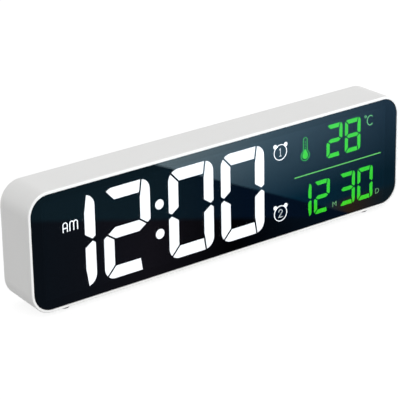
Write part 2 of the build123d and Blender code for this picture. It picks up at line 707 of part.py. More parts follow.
def tact_switches():
    """Return the switch bodies, each open for its plunger."""
    well = PLUNGER_DIAMETER + 2 * PLUNGER_CLEARANCE
    well_front = SWITCH_BACK - PLUNGER_INSIDE - PLUNGER_ROOM
    bodies = Part()
    for x in key_places():
        body = block(x, KEY_ROW, SWITCH_SIZE, SWITCH_SIZE, REAR_BOARD_BACK, SWITCH_BACK)
        bodies += body - rod(x, KEY_ROW, well, well_front, SWITCH_BACK)
    return bodies


def plunger(x):
    """Return a switch's plunger, which the key's stem rests on."""
    return rod(x, KEY_ROW, PLUNGER_DIAMETER, SWITCH_BACK - PLUNGER_INSIDE, PLUNGER_TIP)


def key_cap(x):
    """Return a key: a round cap, the flange that keeps it in, and its stem."""
    cap = rod(x, KEY_ROW, KEY_DIAMETER, FLANGE_BACK, KEY_SEAT + KEY_PROUD)
    cap = fillet(cap.edges().group_by(Axis.Y)[-1], KEY_ROUND)
    cap += rod(x, KEY_ROW, KEY_FLANGE, FLANGE_FRONT, FLANGE_BACK)
    cap += rod(x, KEY_ROW, KEY_STEM, PLUNGER_TIP, FLANGE_FRONT)
    return cap


def socket_outline():
    """Return the outline of the power socket, with its two lower corners cut."""
    half = SOCKET_WIDTH / 2
    up = SOCKET_HEIGHT / 2
    points = ((-half, up), (half, up), (half, up - SOCKET_HEIGHT / 2))
    points += ((half - SOCKET_TAPER, -up), (SOCKET_TAPER - half, -up), (-half, up - SOCKET_HEIGHT / 2))
    return make_face(Polyline(*points, close=True).edges())


def usb_shell():
    """Return the metal shell of the power socket."""
    outline = socket_outline()
    tube = outline - offset(outline, -SOCKET_WALL, kind=Kind.INTERSECTION)
    return slab(Pos(KEYS_X, SOCKET_ROW) * tube, REAR_BOARD_BACK, COVER_BACK - SOCKET_INSET)


def usb_insert():
    """Return the insulator inside the socket: its base and its contact tongue."""
    inside = Pos(KEYS_X, SOCKET_ROW) * offset(socket_outline(), -SOCKET_WALL, kind=Kind.INTERSECTION)
    base_back = REAR_BOARD_BACK + SOCKET_BASE
    tongue_back = COVER_BACK - SOCKET_INSET - SOCKET_TONGUE_INSET
    insert = slab(inside, REAR_BOARD_BACK, base_back)
    insert += block(
        KEYS_X, SOCKET_ROW, SOCKET_TONGUE_WIDTH, SOCKET_TONGUE_THICKNESS, base_back, tongue_back
    )
    return insert


def grille_places():
    """Return the holes of the speaker grille, in rings round the speaker's middle."""
    places = [(-SIDE_CENTRE, 0)]
    for ring in range(1, GRILLE_RINGS + 1):
        circle = PolarLocations(ring * GRILLE_PITCH, 6 * ring)
        places += [(spot.position.X - SIDE_CENTRE, spot.position.Y) for spot in circle]
    return places


def battery_bay(cover):
    """Return the rear cover with its battery bay, door seat and contact slits."""
    outer_length = BAY_LENGTH + 2 * BAY_WALL
    outer_height = BAY_HEIGHT + 2 * BAY_WALL
    cover += block(0, 0, outer_length, outer_height, FLOOR_FRONT, COVER_FRONT)
    cover -= block(0, 0, BAY_LENGTH, BAY_HEIGHT, FLOOR_BACK, COVER_BACK)
    seat = RectangleRounded(DOOR_LENGTH + 2 * DOOR_GAP, DOOR_HEIGHT + 2 * DOOR_GAP, DOOR_CORNER + DOOR_GAP)
    cover -= slab(seat, DOOR_FRONT, COVER_BACK)
    for row in (-CELL_PITCH / 2, CELL_PITCH / 2):
        cover += block(0, row, CELL_LENGTH / 2, CRADLE_WIDTH, FLOOR_BACK, FLOOR_BACK + CRADLE_HEIGHT)
        slot_near = -DOOR_LENGTH / 2 - DOOR_GAP
        slot_far = -BAY_LENGTH / 2
        slot = ((slot_near + slot_far) / 2, row, slot_far - slot_near, DOOR_TAB_WIDTH + 2 * DOOR_GAP)
        cover -= block(*slot, COVER_BACK - DOOR_TAB_SWING, DOOR_FRONT)
    thumb = Pos(DOOR_LENGTH / 2, 0) * Circle(THUMB_RADIUS)
    cover -= slab(thumb, COVER_BACK - THUMB_DEPTH, COVER_BACK)
    slit = CONTACT_THICKNESS + 2 * CONTACT_CLEARANCE
    for side, row in ((-1, CELL_ROWS[0]), (1, CELL_ROWS[2])):
        x = side * (BAY_LENGTH / 2 - CONTACT_THICKNESS / 2)
        cover -= block(x, row, slit, CONTACT_TAIL + 2 * CONTACT_CLEARANCE, FLOOR_FRONT, FLOOR_BACK)
    return cover


def rear_cover():
    """Return the rear cover: bay, key holes, grille, vents, socket opening, posts and screw seats."""
    spread = 2 * COVER_CLEARANCE
    corner = CAVITY_CORNER - COVER_CLEARANCE
    outline = risen_outline(CAVITY_WIDTH - spread, CAVITY_HEIGHT - spread, corner, COVER_BACK)
    cover = slab(outline, COVER_FRONT, COVER_BACK)
    cover = fillet(cover.edges().group_by(Axis.Y)[-1], COVER_EDGE_ROUND)
    cover = battery_bay(cover)
    ring_inner = SPEAKER_DIAMETER + 2 * RING_CLEARANCE
    ring = Circle(ring_inner / 2 + RING_WALL) - Circle(ring_inner / 2)
    cover += slab(Pos(-SIDE_CENTRE, 0) * ring, COVER_FRONT - RING_HEIGHT, COVER_FRONT)
    for x, z in POSTS:
        cover += rod(x, z, POST_DIAMETER, REAR_BOARD_BACK, COVER_FRONT)
    row_length = 2 * KEY_ROW_HALF + KEY_DIAMETER + 2 * KEY_RECESS_MARGIN
    key_bed = SlotOverall(row_length, KEY_DIAMETER + 2 * KEY_RECESS_MARGIN)
    cover -= slab(Pos(KEYS_X, KEY_ROW) * key_bed, KEY_SEAT, COVER_BACK)
    key_hole = Circle(KEY_DIAMETER / 2 + KEY_CLEARANCE)
    through = [Pos(x, KEY_ROW) * key_hole for x in key_places()]
    through += [Pos(x, z) * Circle(GRILLE_HOLE / 2) for x, z in grille_places()]
    socket = RectangleRounded(
        SOCKET_WIDTH + 2 * SOCKET_CLEARANCE, SOCKET_HEIGHT + 2 * SOCKET_CLEARANCE, SOCKET_CLEARANCE * 2
    )
    through.append(Pos(KEYS_X, SOCKET_ROW) * socket)
    for index in range(VENT_COUNT):
        vent_x = SENSOR_X + (index - (VENT_COUNT - 1) / 2) * VENT_PITCH
        through.append(Pos(vent_x, -SENSOR_DROP) * Rot(0, 0, 90) * SlotOverall(VENT_HEIGHT, VENT_WIDTH))
    screw_hole = Circle(SCREW_SHANK / 2 + SCREW_CLEARANCE)
    through += [Pos(x, z) * screw_hole for x, z in COVER_BOSSES]
    cover -= slab(Sketch() + through, COVER_FRONT, COVER_BACK)
    plug_bed = RectangleRounded(PLUG_RECESS_WIDTH, PLUG_RECESS_HEIGHT, PLUG_RECESS_DEPTH * 2)
    cover -= slab(Pos(KEYS_X, SOCKET_ROW) * plug_bed, COVER_BACK - PLUG_RECESS_DEPTH, COVER_BACK)
    head_seat = COVER_BACK - SCREW_HEAD_HEIGHT - SCREW_HEAD_ROOM
    for x, z in COVER_BOSSES:
        cover -= rod(x, z, SCREW_HEAD + 2 * SCREW_HEAD_ROOM, head_seat, COVER_BACK)
    pilot = BOARD_SCREW_SHANK + 2 * SCREW_CLEARANCE
    for x, z in POSTS:
        cover -= rod(x, z, pilot, REAR_BOARD_BACK, REAR_BOARD_BACK + BOARD_SCREW_BITE + SCREW_HEAD_ROOM)
    return cover


def battery_door():
    """Return the battery door: plate, two hinge tabs, a latch tongue and finger grooves."""
    door = slab(RectangleRounded(DOOR_LENGTH, DOOR_HEIGHT, DOOR_CORNER), DOOR_FRONT, COVER_BACK)
    tab_back = COVER_FRONT - DOOR_TAB_GAP
    tab_front = tab_back - DOOR_TAB_THICKNESS
    edge = -DOOR_LENGTH / 2
    tab_length = DOOR_TAB_REACH + DOOR_TAB_ROOT
    for row in (-CELL_PITCH / 2, CELL_PITCH / 2):
        door += block(edge + DOOR_TAB_ROOT / 2, row, DOOR_TAB_ROOT, DOOR_TAB_WIDTH, tab_front, DOOR_FRONT)
        tab_x = edge + DOOR_TAB_ROOT - tab_length / 2
        door += block(tab_x, row, tab_length, DOOR_TAB_WIDTH, tab_front, tab_back)
    latch_x = BAY_LENGTH / 2 - LATCH_SPACE - LATCH_THICKNESS / 2
    door += block(latch_x, 0, LATCH_THICKNESS, LATCH_WIDTH, DOOR_FRONT - LATCH_DEPTH, DOOR_FRONT)
    for index in range(GRIP_COUNT):
        groove_x = DOOR_LENGTH / 2 - GRIP_INSET - index * GRIP_PITCH
        door -= block(groove_x, 0, GRIP_WIDTH, GRIP_LENGTH, COVER_BACK - GRIP_DEPTH, COVER_BACK)
    return door


def battery_cell(row, sense):
    """Return one cell, lying along X with its nub to the right for a sense of 1."""
    shift = sense * LEAF_RISE / 2
    base = shift - sense * CELL_LENGTH / 2
    plane = Plane(
        origin=(base, CELL_AXIS - CASE_DEPTH / 2, CASE_CENTRE + row), x_dir=(0, 0, 1), z_dir=(sense, 0, 0)
    )
    can = extrude(plane * Circle(CELL_DIAMETER / 2), amount=CELL_LENGTH - CELL_NUB_LENGTH)
    can = chamfer(can.edges().filter_by(GeomType.CIRCLE), CELL_BEVEL)
    return can + extrude(plane * Circle(CELL_NUB_DIAMETER / 2), amount=CELL_LENGTH)


def battery_contact(side, rows, tail):
    """Return a contact at one end of the bay: a plate over its cells, with a leaf at each flat end."""
    wall = side * BAY_LENGTH / 2
    face = wall - side * CONTACT_THICKNESS
    top = (CELL_ROWS[rows[0]], CELL_ROWS[rows[-1]])
    height = abs(top[0] - top[1]) + CONTACT_WIDTH
    plate_x = (wall + face) / 2
    contact = block(plate_x, sum(top) / 2, CONTACT_THICKNESS, height, FLOOR_BACK, FLOOR_BACK + CONTACT_HEIGHT)
    for row in rows:
        if CELL_SENSES[row] != side:
            centre = face - side * (LEAF_RISE - LEAF_RADIUS)
            ring = Circle(LEAF_RADIUS) - Circle(LEAF_RADIUS - CONTACT_THICKNESS)
            keep = Pos(-side * LEAF_RADIUS + face - centre, 0) * Rectangle(2 * LEAF_RADIUS, 2 * LEAF_RADIUS)
            bow = Pos(centre, CELL_ROWS[row]) * (ring & keep)
            contact += slab(bow, CELL_AXIS - LEAF_WIDTH / 2, CELL_AXIS + LEAF_WIDTH / 2)
    if tail:
        contact += block(plate_x, CELL_ROWS[rows[0]], CONTACT_THICKNESS, CONTACT_TAIL, BOARD_BACK, FLOOR_BACK)
    return contact


def speaker_parts():
    """Return the speaker's gasket, frame, cone and magnet, from the cover forwards."""
    x = -SIDE_CENTRE
    outer = SPEAKER_DIAMETER / 2
    inner = outer - SPEAKER_FLANGE_WIDTH
    flange_back = COVER_FRONT - GASKET_THICKNESS
    flange_front = flange_back - SPEAKER_FLANGE
    base_back = flange_front - SPEAKER_BASKET_DEPTH
    base_front = base_back - SPEAKER_WALL
    base = SPEAKER_BASE_DIAMETER / 2
    gasket = slab(Pos(x, 0) * (Circle(outer) - Circle(inner)), flange_back, COVER_FRONT)
    frame = turned(
        (
            (inner, flange_back), (outer, flange_back), (outer, flange_front),
            (inner + SPEAKER_WALL, flange_front), (base, base_front), (0, base_front),
            (0, base_back), (base - SPEAKER_WALL, base_back), (inner, flange_front),
        ),
        x, 0,
    )
    dome = SPEAKER_DOME_DIAMETER / 2
    dip = flange_back - SPEAKER_CONE_DEPTH
    skin = SPEAKER_CONE_WALL
    cone = turned(
        (
            (inner, flange_back - skin), (inner, flange_back), (inner - skin, flange_back), (dome, dip),
            (0, dip + skin), (0, dip), (dome, dip - skin), (inner - skin, flange_back - skin),
        ),
        x, 0,
    )
    magnet = rod(x, 0, MAGNET_DIAMETER, base_front - MAGNET_HEIGHT, base_front)
    return {"speaker_gasket": gasket, "speaker_frame": frame, "speaker_cone": cone, "speaker_magnet": magnet}


def speaker_leads():
    """Return the speaker's two stiff leads, from the bottom of its frame to the display board."""
    frame_front = COVER_FRONT - GASKET_THICKNESS - SPEAKER_FLANGE - SPEAKER_BASKET_DEPTH - SPEAKER_WALL
    x = MAGNET_DIAMETER / 2 + LEAD_DIAMETER - SIDE_CENTRE
    rows = (-LEAD_SPACING / 2, LEAD_SPACING / 2)
    return Part() + [rod(x, row, LEAD_DIAMETER, BOARD_BACK, frame_front) for row in rows]


def build_nodes():
    """Return every piece of the clock by its name."""
    nodes = {
        "case_shell": case_shell(),
        "front_lens": front_lens(),
        "lens_mask": lens_mask(),
        "lens_tape": lens_tape(),
        "reflector_block": reflector_block(),
        "time_segments": diffusers("white"),
        "green_segments": diffusers("green"),
        "dark_segments": diffusers("dark"),
        "white_leds": lamps(WHITE_LAMPS, LED_SIZE, LED_HEIGHT),
        "green_leds": lamps(GREEN_LAMPS, SMALL_LED_SIZE, SMALL_LED_HEIGHT),
        "display_board": display_board(),
        "driver_chip": chip("driver_chip"),
        "clock_chip": chip("clock_chip"),
        "quartz_crystal": crystal(),
        "capacitor": capacitor(),
        "temperature_sensor": temperature_sensor(),
        "board_screws": board_screws(),
        "rear_board": rear_board(),
        "rear_board_screws": rear_board_screws(),
        "board_header": board_header(),
        "tact_switches": tact_switches(),
        "usb_shell": usb_shell(),
        "usb_insert": usb_insert(),
        "rear_cover": rear_cover(),
        "cover_screws": cover_screws(),
        "battery_door": battery_door(),
        "contact_negative": battery_contact(-1, (0,), tail=True),
        "contact_left_bridge": battery_contact(-1, (1, 2), tail=False),
        "contact_right_bridge": battery_contact(1, (0, 1), tail=False),
        "contact_positive": battery_contact(1, (2,), tail=True),
        "speaker_leads": speaker_leads(),
    }
    nodes.update(speaker_parts())
    for name, x in zip(KEY_NAMES, key_places()):
        nodes[name + "_key"] = key_cap(x)
        nodes[name + "_plunger"] = plunger(x)
    for index, (row, sense) in enumerate(zip(CELL_ROWS, CELL_SENSES), start=1):
        nodes[f"battery_cell_{index}"] = battery_cell(row, sense)
    corners = ("front_left", "front_right", "rear_left", "rear_right")
    for corner, place in zip(corners, foot_places()):
        nodes["foot_" + corner] = rubber_foot(place)
    return nodes


os.makedirs("parts", exist_ok=True)
for node_name, solid in build_nodes().items():
    export_step(solid, f"parts/{node_name}.step")
print(f"case {CASE_WIDTH:.1f} x {CASE_HEIGHT:.1f} x {CASE_DEPTH:.1f} mm, on feet {FOOT_PROUD:.1f} mm high")
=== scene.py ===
"""Dresses the LED desk clock: finishes for its solids, the display's marks, the studio and the camera."""

import logging
import math
from dataclasses import dataclass, field
from enum import Enum
from typing import Any, Callable, Dict, List, Sequence, Tuple

import bpy
from mathutils import Matrix, Vector


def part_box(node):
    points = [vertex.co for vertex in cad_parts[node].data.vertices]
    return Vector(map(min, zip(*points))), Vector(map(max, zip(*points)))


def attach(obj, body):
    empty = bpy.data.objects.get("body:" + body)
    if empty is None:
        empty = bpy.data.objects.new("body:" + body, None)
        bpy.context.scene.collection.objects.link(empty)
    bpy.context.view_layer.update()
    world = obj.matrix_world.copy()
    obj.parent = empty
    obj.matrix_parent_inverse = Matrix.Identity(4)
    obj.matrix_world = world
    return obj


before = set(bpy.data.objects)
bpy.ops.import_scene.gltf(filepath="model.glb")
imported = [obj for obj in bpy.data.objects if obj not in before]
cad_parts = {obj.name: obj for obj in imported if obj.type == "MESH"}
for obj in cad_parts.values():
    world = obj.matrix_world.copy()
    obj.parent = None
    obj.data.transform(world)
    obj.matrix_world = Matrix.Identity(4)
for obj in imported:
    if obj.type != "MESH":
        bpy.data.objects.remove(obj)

LOG = logging.getLogger("desk_clock")
MM_IN_METRE = 1000.0
# How far a mark is let into the face that carries it, in millimetres.
LAID_IN = 0.04
# Corners this near to a cut count as on it, and corners this near to each other as one, in metres.
CUT_SLACK = 1e-7
MERGE_SLACK = 1e-6
# How many corners stand for a disc, for a ring and for one soft corner of a triangle.
DISC_CORNERS = 32
RING_CORNERS = 48
SOFT_CORNERS = 3

Point = Tuple[float, float]
Place = Tuple[float, float, float]
Tones = Tuple[Tuple[float, str], ...]
Link = Any
Tree = bpy.types.NodeTree
Material = bpy.types.Material
Piece = bpy.types.Object


def mm(length: float) -> float:
    """Return a length in metres, given in millimetres."""
    return length / MM_IN_METRE


def in_mm(length: float) -> float:
    """Return a length in millimetres, given in metres."""
    return length * MM_IN_METRE


def per_mm(size: float) -> float:
    """Return the texture scale whose pattern repeats about once in this many millimetres."""
    return MM_IN_METRE / size


def linear(colour: str) -> Tuple[float, float, float, float]:
    """Turn an sRGB hex colour into linear light.

    Args:
        colour: six hex digits, such as "E8E8E6".

    Returns:
        Red, green, blue and an alpha of 1.
    """
    parts = [int(colour[place:place + 2], 16) / 255.0 for place in (0, 2, 4)]
    light = [part / 12.92 if part <= 0.04045 else ((part + 0.055) / 1.055) ** 2.4 for part in parts]
    return light[0], light[1], light[2], 1.0


def add_node(
    tree: Tree, kind: str, settings: Dict[Any, Any], links: Dict[Any, Link], stops: Tones = (),
) -> bpy.types.Node:
    """Add one shader node.

    Args:
        tree: the node tree it goes into.
        kind: the node's type name, after the words that every shader node's starts with.
        settings: values by input name or number, or by the node's own property name.
        links: output sockets by the input's name or number.
        stops: where the node has a ramp, its places from 0 to 1 with their colours.

    Returns:
        The new node.
    """
    node = tree.nodes.new("ShaderNode" + kind)
    for key, value in settings.items():
        if isinstance(key, str) and hasattr(node, key):
            setattr(node, key, value)
        else:
            node.inputs[key].default_value = value
    for key, socket in links.items():
        tree.links.new(socket, node.inputs[key])
    for number, (place, colour) in enumerate(stops):
        ramp = node.color_ramp.elements
        stop = ramp[number] if number < len(ramp) else ramp.new(place)
        stop.position = place
        stop.color = linear(colour)
    return node


def new_material(name: str) -> Tuple[Material, Tree]:
    """Start a material.

    Args:
        name: the material's name.

    Returns:
        The material, and its empty node tree.
    """
    material = bpy.data.materials.new(name)
    material.use_nodes = True
    material.node_tree.nodes.clear()
    return material, material.node_tree


def place_on(tree: Tree) -> Link:
    """Return the socket that gives a point's place on the piece, in metres."""
    return add_node(tree, "TexCoord", {}, {}).outputs["Object"]


def show(tree: Tree, shader: bpy.types.Node) -> None:
    """Join a shader to the material's output."""
    add_node(tree, "OutputMaterial", {}, {"Surface": shader.outputs[0]})


class Finish:
    """A finish that makes its material the first time it is asked for."""

    name: str

    def material(self) -> Material:
        """Return the finish's material, made once."""
        found = bpy.data.materials.get(self.name)
        return found if found is not None else self.make()

    def make(self) -> Material:
        """Build the material's nodes and return it."""
        raise NotImplementedError


@dataclass(frozen=True)
class Moulded(Finish):
    """A moulded plastic or rubber: even colour, spark-eroded grain, and a sheen that varies a little."""

    name: str
    colour: str
    shade: str
    roughness: float
    grain: float
    relief: float
    gloss: float = 0.5
    patch: float = 35.0
    uneven: float = 0.05

    def make(self) -> Material:
        """Build colour drift, uneven sheen and fine grain.

        Returns:
            The material.
        """
        material, tree = new_material(self.name)
        place = place_on(tree)
        drift = add_node(tree, "TexNoise", {"Scale": per_mm(self.patch), "Detail": 3.0}, {"Vector": place})
        colour = add_node(
            tree, "ValToRGB", {}, {"Fac": drift.outputs["Fac"]}, ((0.3, self.shade), (0.7, self.colour)),
        )
        sheen = add_node(
            tree, "MapRange",
            {"To Min": self.roughness - self.uneven, "To Max": self.roughness + self.uneven},
            {"Value": drift.outputs["Fac"]},
        )
        grain = add_node(tree, "TexNoise", {"Scale": per_mm(self.grain), "Detail": 2.0}, {"Vector": place})
        bump = add_node(
            tree, "Bump", {"Strength": 0.6, "Distance": mm(self.relief)}, {"Height": grain.outputs["Fac"]},
        )
        shader = add_node(
            tree, "BsdfPrincipled", {"IOR": 1.53, "Specular IOR Level": self.gloss},
            {
                "Base Color": colour.outputs["Color"],
                "Roughness": sheen.outputs["Result"],
                "Normal": bump.outputs["Normal"],
            },
        )
        show(tree, shader)
        return material


@dataclass(frozen=True)
class Smoked(Finish):
    """A polished smoked acrylic sheet: a dark see-through tint under a mirror gloss."""

    name: str
    tint: str
    roughness: float
    ripple: float
    relief: float

    def make(self) -> Material:
        """Build the tinted glass with a cast sheet's faint ripple.

        Returns:
            The material.
        """
        material, tree = new_material(self.name)
        place = place_on(tree)
        ripple = add_node(tree, "TexNoise", {"Scale": per_mm(self.ripple), "Detail": 1.0}, {"Vector": place})
        bump = add_node(
            tree, "Bump", {"Strength": 0.2, "Distance": mm(self.relief)}, {"Height": ripple.outputs["Fac"]},
        )
        haze = add_node(
            tree, "MapRange", {"To Min": self.roughness * 0.5, "To Max": self.roughness * 1.5},
            {"Value": ripple.outputs["Fac"]},
        )
        shader = add_node(
            tree, "BsdfPrincipled",
            {"Base Color": linear(self.tint), "IOR": 1.49, "Transmission Weight": 1.0},
            {"Roughness": haze.outputs["Result"], "Normal": bump.outputs["Normal"]},
        )
        show(tree, shader)
        return material


@dataclass(frozen=True)
class Lit(Finish):
    """A milky diffuser with a lamp behind it: nearly even light, a little weaker away from the lamp."""

    name: str
    body: str
    glow: str
    strength: float
    spread: float = 9.0

    def make(self) -> Material:
        """Build the glowing resin.

        Returns:
            The material.
        """
        material, tree = new_material(self.name)
        place = place_on(tree)
        cloud = add_node(tree, "TexNoise", {"Scale": per_mm(self.spread), "Detail": 1.0}, {"Vector": place})
        power = add_node(
            tree, "MapRange", {"To Min": self.strength * 0.9, "To Max": self.strength * 1.1},
            {"Value": cloud.outputs["Fac"]},
        )
        shader = add_node(
            tree, "BsdfPrincipled",
            {
                "Base Color": linear(self.body), "Roughness": 0.5, "IOR": 1.5,
                "Emission Color": linear(self.glow),
            },
            {"Emission Strength": power.outputs["Result"]},
        )
        show(tree, shader)
        return material


@dataclass(frozen=True)
class RuledLit(Lit):
    """A lit diffuser with a rule at one height, which is thin and so glows paler than the figures."""

    rule_glow: str = "FFFFFF"
    rule_height: float = 0.0
    rule_reach: float = 1.0

    def make(self) -> Material:
        """Build the glowing resin with two colours of light.

        Returns:
            The material.
        """
        material = super().make()
        tree = material.node_tree
        apart = add_node(tree, "SeparateXYZ", {}, {"Vector": place_on(tree)})
        on_rule = add_node(
            tree, "Math", {"operation": "COMPARE", 1: mm(self.rule_height), 2: mm(self.rule_reach)},
            {0: apart.outputs["Z"]},
        )
        light = add_node(
            tree, "Mix", {"data_type": "RGBA", 6: linear(self.glow), 7: linear(self.rule_glow)},
            {0: on_rule.outputs[0]},
        )
        shader = tree.nodes["Principled BSDF"]
        tree.links.new(light.outputs[2], shader.inputs["Emission Color"])
        return material


@dataclass(frozen=True)
class Metal(Finish):
    """A plated or pressed metal: bright, with fine streaks left by the tool that formed it."""

    name: str
    colour: str
    shade: str
    roughness: float
    streak: float
    relief: float
    stretch: Place = (1.0, 1.0, 6.0)
    uneven: float = 0.08

    def make(self) -> Material:
        """Build streaked metal.

        Returns:
            The material.
        """
        material, tree = new_material(self.name)
        along = add_node(
            tree, "Mapping", {"Scale": tuple(1.0 / part for part in self.stretch)},
            {"Vector": place_on(tree)},
        )
        streak = add_node(
            tree, "TexNoise", {"Scale": per_mm(self.streak), "Detail": 4.0},
            {"Vector": along.outputs["Vector"]},
        )
        colour = add_node(
            tree, "ValToRGB", {}, {"Fac": streak.outputs["Fac"]}, ((0.35, self.shade), (0.65, self.colour)),
        )
        polish = add_node(
            tree, "MapRange",
            {"To Min": self.roughness - self.uneven, "To Max": self.roughness + self.uneven},
            {"Value": streak.outputs["Fac"]},
        )
        bump = add_node(
            tree, "Bump", {"Strength": 0.4, "Distance": mm(self.relief)}, {"Height": streak.outputs["Fac"]},
        )
        shader = add_node(
            tree, "BsdfPrincipled", {"Metallic": 1.0},
            {
                "Base Color": colour.outputs["Color"],
                "Roughness": polish.outputs["Result"],
                "Normal": bump.outputs["Normal"],
            },
        )
        show(tree, shader)
        return material


@dataclass(frozen=True)
class Sleeve(Finish):
    """A cell's shrink sleeve in two plain colours, with bare nickel showing at both ends."""

    name: str
    sleeve: str
    band: str
    bare: str
    sleeve_end: float
    band_start: float
    wrinkle: float = 2.0
    relief: float = 0.03

    def make(self) -> Material:
        """Build the bands along the cell from its distance to the bay's middle.

        Returns:
            The material.
        """
        material, tree = new_material(self.name)
        place = place_on(tree)
        apart = add_node(tree, "SeparateXYZ", {}, {"Vector": place})
        reach = add_node(tree, "Math", {"operation": "ABSOLUTE"}, {0: apart.outputs["X"]})
        inked, metal = (
            add_node(tree, "Math", {"operation": "GREATER_THAN", 1: mm(limit)}, {0: reach.outputs[0]})
            for limit in (self.band_start, self.sleeve_end)
        )
        printed = add_node(
            tree, "Mix", {"data_type": "RGBA", 6: linear(self.sleeve), 7: linear(self.band)},
            {0: inked.outputs[0]},
        )
        colour = add_node(
            tree, "Mix", {"data_type": "RGBA", 7: linear(self.bare)},
            {0: metal.outputs[0], 6: printed.outputs[2]},
        )
        wrinkle = add_node(
            tree, "TexNoise", {"Scale": per_mm(self.wrinkle), "Detail": 2.0}, {"Vector": place},
        )
        bump = add_node(
            tree, "Bump", {"Strength": 0.3, "Distance": mm(self.relief)}, {"Height": wrinkle.outputs["Fac"]},
        )
        shader = add_node(
            tree, "BsdfPrincipled", {"Roughness": 0.3},
            {
                "Base Color": colour.outputs[2],
                "Metallic": metal.outputs[0],
                "Normal": bump.outputs["Normal"],
            },
        )
        show(tree, shader)
        return material


class Cells(Enum):
    """How the small cells of a surface lie: as they fell, or in the rows of a cloth."""

    LOOSE = ("EUCLIDEAN", 1.0)
    WOVEN = ("CHEBYCHEV", 0.2)


@dataclass(frozen=True)
class Celled(Finish):
    """A surface of small cells: pressed paper pulp, open foam, or glass cloth under lacquer."""

    name: str
    colour: str
    shade: str
    cell: float
    relief: float
    cells: Cells = Cells.LOOSE
    roughness: float = 0.9
    ior: float = 1.5
    strength: float = 0.8

    def make(self) -> Material:
        """Build the cells.

        Returns:
            The material.
        """
        material, tree = new_material(self.name)
        measure, random = self.cells.value
        cells = add_node(
            tree, "TexVoronoi", {"distance": measure, "Scale": per_mm(self.cell), "Randomness": random},
            {"Vector": place_on(tree)},
        )
        depth = cells.outputs["Distance"]
        colour = add_node(tree, "ValToRGB", {}, {"Fac": depth}, ((0.0, self.shade), (1.0, self.colour)))
        bump = add_node(
            tree, "Bump", {"Strength": self.strength, "Distance": mm(self.relief)}, {"Height": depth},
        )
        shader = add_node(
            tree, "BsdfPrincipled", {"Roughness": self.roughness, "IOR": self.ior},
            {"Base Color": colour.outputs["Color"], "Normal": bump.outputs["Normal"]},
        )
        show(tree, shader)
        return material


# Moulded ABS, spark-eroded tool: a soft white with a low satin sheen and a barely felt grain.
WHITE_ABS = Moulded("white_moulded_abs", "EDEDEC", "EAEAE9", 0.38, 0.9, 0.012)
# The same ABS from a coarser eroded tool: a duller white with a fine leather-like texture, which is
# drawn about four times as coarse as it is so that it shows.
TEXTURED_ABS = Moulded("textured_moulded_abs", "EAEAE8", "E5E5E3", 0.5, 1.3, 0.06)
# Cast acrylic dyed through: near black by daylight, with a clean mirror surface.
SMOKED_ACRYLIC = Smoked("smoked_cast_acrylic", "5E6062", 0.012, 45.0, 0.006)
# Printed polyester film: flat dense black.
BLACK_FILM = Moulded("black_printed_film", "0B0B0C", "090909", 0.6, 0.6, 0.004, 0.1)
# Acrylic foam tape: dull charcoal with small cells.
BLACK_TAPE = Celled("black_foam_tape", "1A1A1B", "101011", 0.5, 0.05)
# Black polystyrene light box: matt, so that the smoked panel stays dark over it.
BLACK_REFLECTOR = Moulded("black_moulded_polystyrene", "070708", "050506", 0.8, 0.7, 0.01, 0.0)
# Milky epoxy over white lamps: burns out to white in the photograph.
WHITE_LIGHT = Lit("lit_white_epoxy", "F2F2F0", "FFFFFF", 10.5)
# The same lamps behind fine print: a white that does not burn out.
SOFT_WHITE_LIGHT = Lit("soft_white_epoxy", "F2F2F0", "F4F8FA", 6.5)
# Milky epoxy over green lamps: a saturated lime green, paler along the thin rule.
GREEN_LIGHT = RuledLit(
    "lit_green_epoxy", "BFE8BF", "40F01C", 6.8, rule_glow="74DF67", rule_height=26.6, rule_reach=2.0,
)
# The same lamps behind a fine outline: a softer green.
SOFT_GREEN_LIGHT = Lit("soft_green_epoxy", "BFE8BF", "30E03A", 5.2)
# The same lamps behind small print: a pale, thin green.
PALE_GREEN_LIGHT = Lit("pale_green_epoxy", "C8E8C8", "80E490", 6.0)
# And behind the smallest letters: paler and weaker still.
DIM_GREEN_LIGHT = Lit("dim_green_epoxy", "C8E8C8", "92D88E", 3.6)
# Grey-tinted epoxy with its lamp off: as dark as the light box.
DARK_RESIN = Moulded("dark_tinted_epoxy", "070708", "050506", 0.7, 0.8, 0.006, 0.0)
# Lamp chips, clear silicone over the light source: pale yellow or pale green where they are seen.
WHITE_LAMP = Lit("white_lamp_chip", "F0E6B4", "FFFFFF", 2.0)
GREEN_LAMP = Lit("green_lamp_chip", "CFE0C8", "3CF01E", 2.0)
# Glass-epoxy board under green lacquer: glossy, with a faint weave.
GREEN_BOARD = Celled(
    "lacquered_glass_epoxy_board", "16603A", "0F4A2A", 0.6, 0.02,
    Cells.WOVEN, roughness=0.3, ior=1.55, strength=0.3,
)
# Transfer-moulded epoxy chip bodies and connectors: sooty black, slightly rough.
BLACK_MOULDING = Moulded("black_moulded_epoxy", "1B1B1D", "161617", 0.55, 0.5, 0.02)
# Nickel-plated steel cans: bright with faint drawing lines.
BRIGHT_CAN = Metal("nickel_plated_can", "C9C9C6", "B4B4B0", 0.28, 0.5, 0.01)
# Drawn aluminium can: pale, soft shine.
ALUMINIUM_CAN = Metal("drawn_aluminium_can", "D2D3D5", "BFC0C3", 0.35, 0.4, 0.01)
# Dipped epoxy bead: dull brown-black.
SENSOR_BEAD = Moulded("dipped_epoxy_bead", "2A211B", "1F1814", 0.45, 0.6, 0.03)
# Zinc-plated steel screws: blue-grey bright with turning marks.
ZINC_SCREW = Metal("zinc_plated_steel", "B7BAC0", "9A9DA4", 0.33, 0.3, 0.012)
# Nickel-plated spring steel leaf: clean and bright.
NICKEL_CONTACT = Metal("nickel_plated_spring_steel", "C4C1B8", "AEAAA0", 0.25, 0.6, 0.006)
# PVC shrink sleeve: glossy, two plain colours.
CELL_SLEEVE = Sleeve("pvc_shrink_sleeve", "5C6872", "C9CDCF", "C9C7C0", 21.4, 16.0)
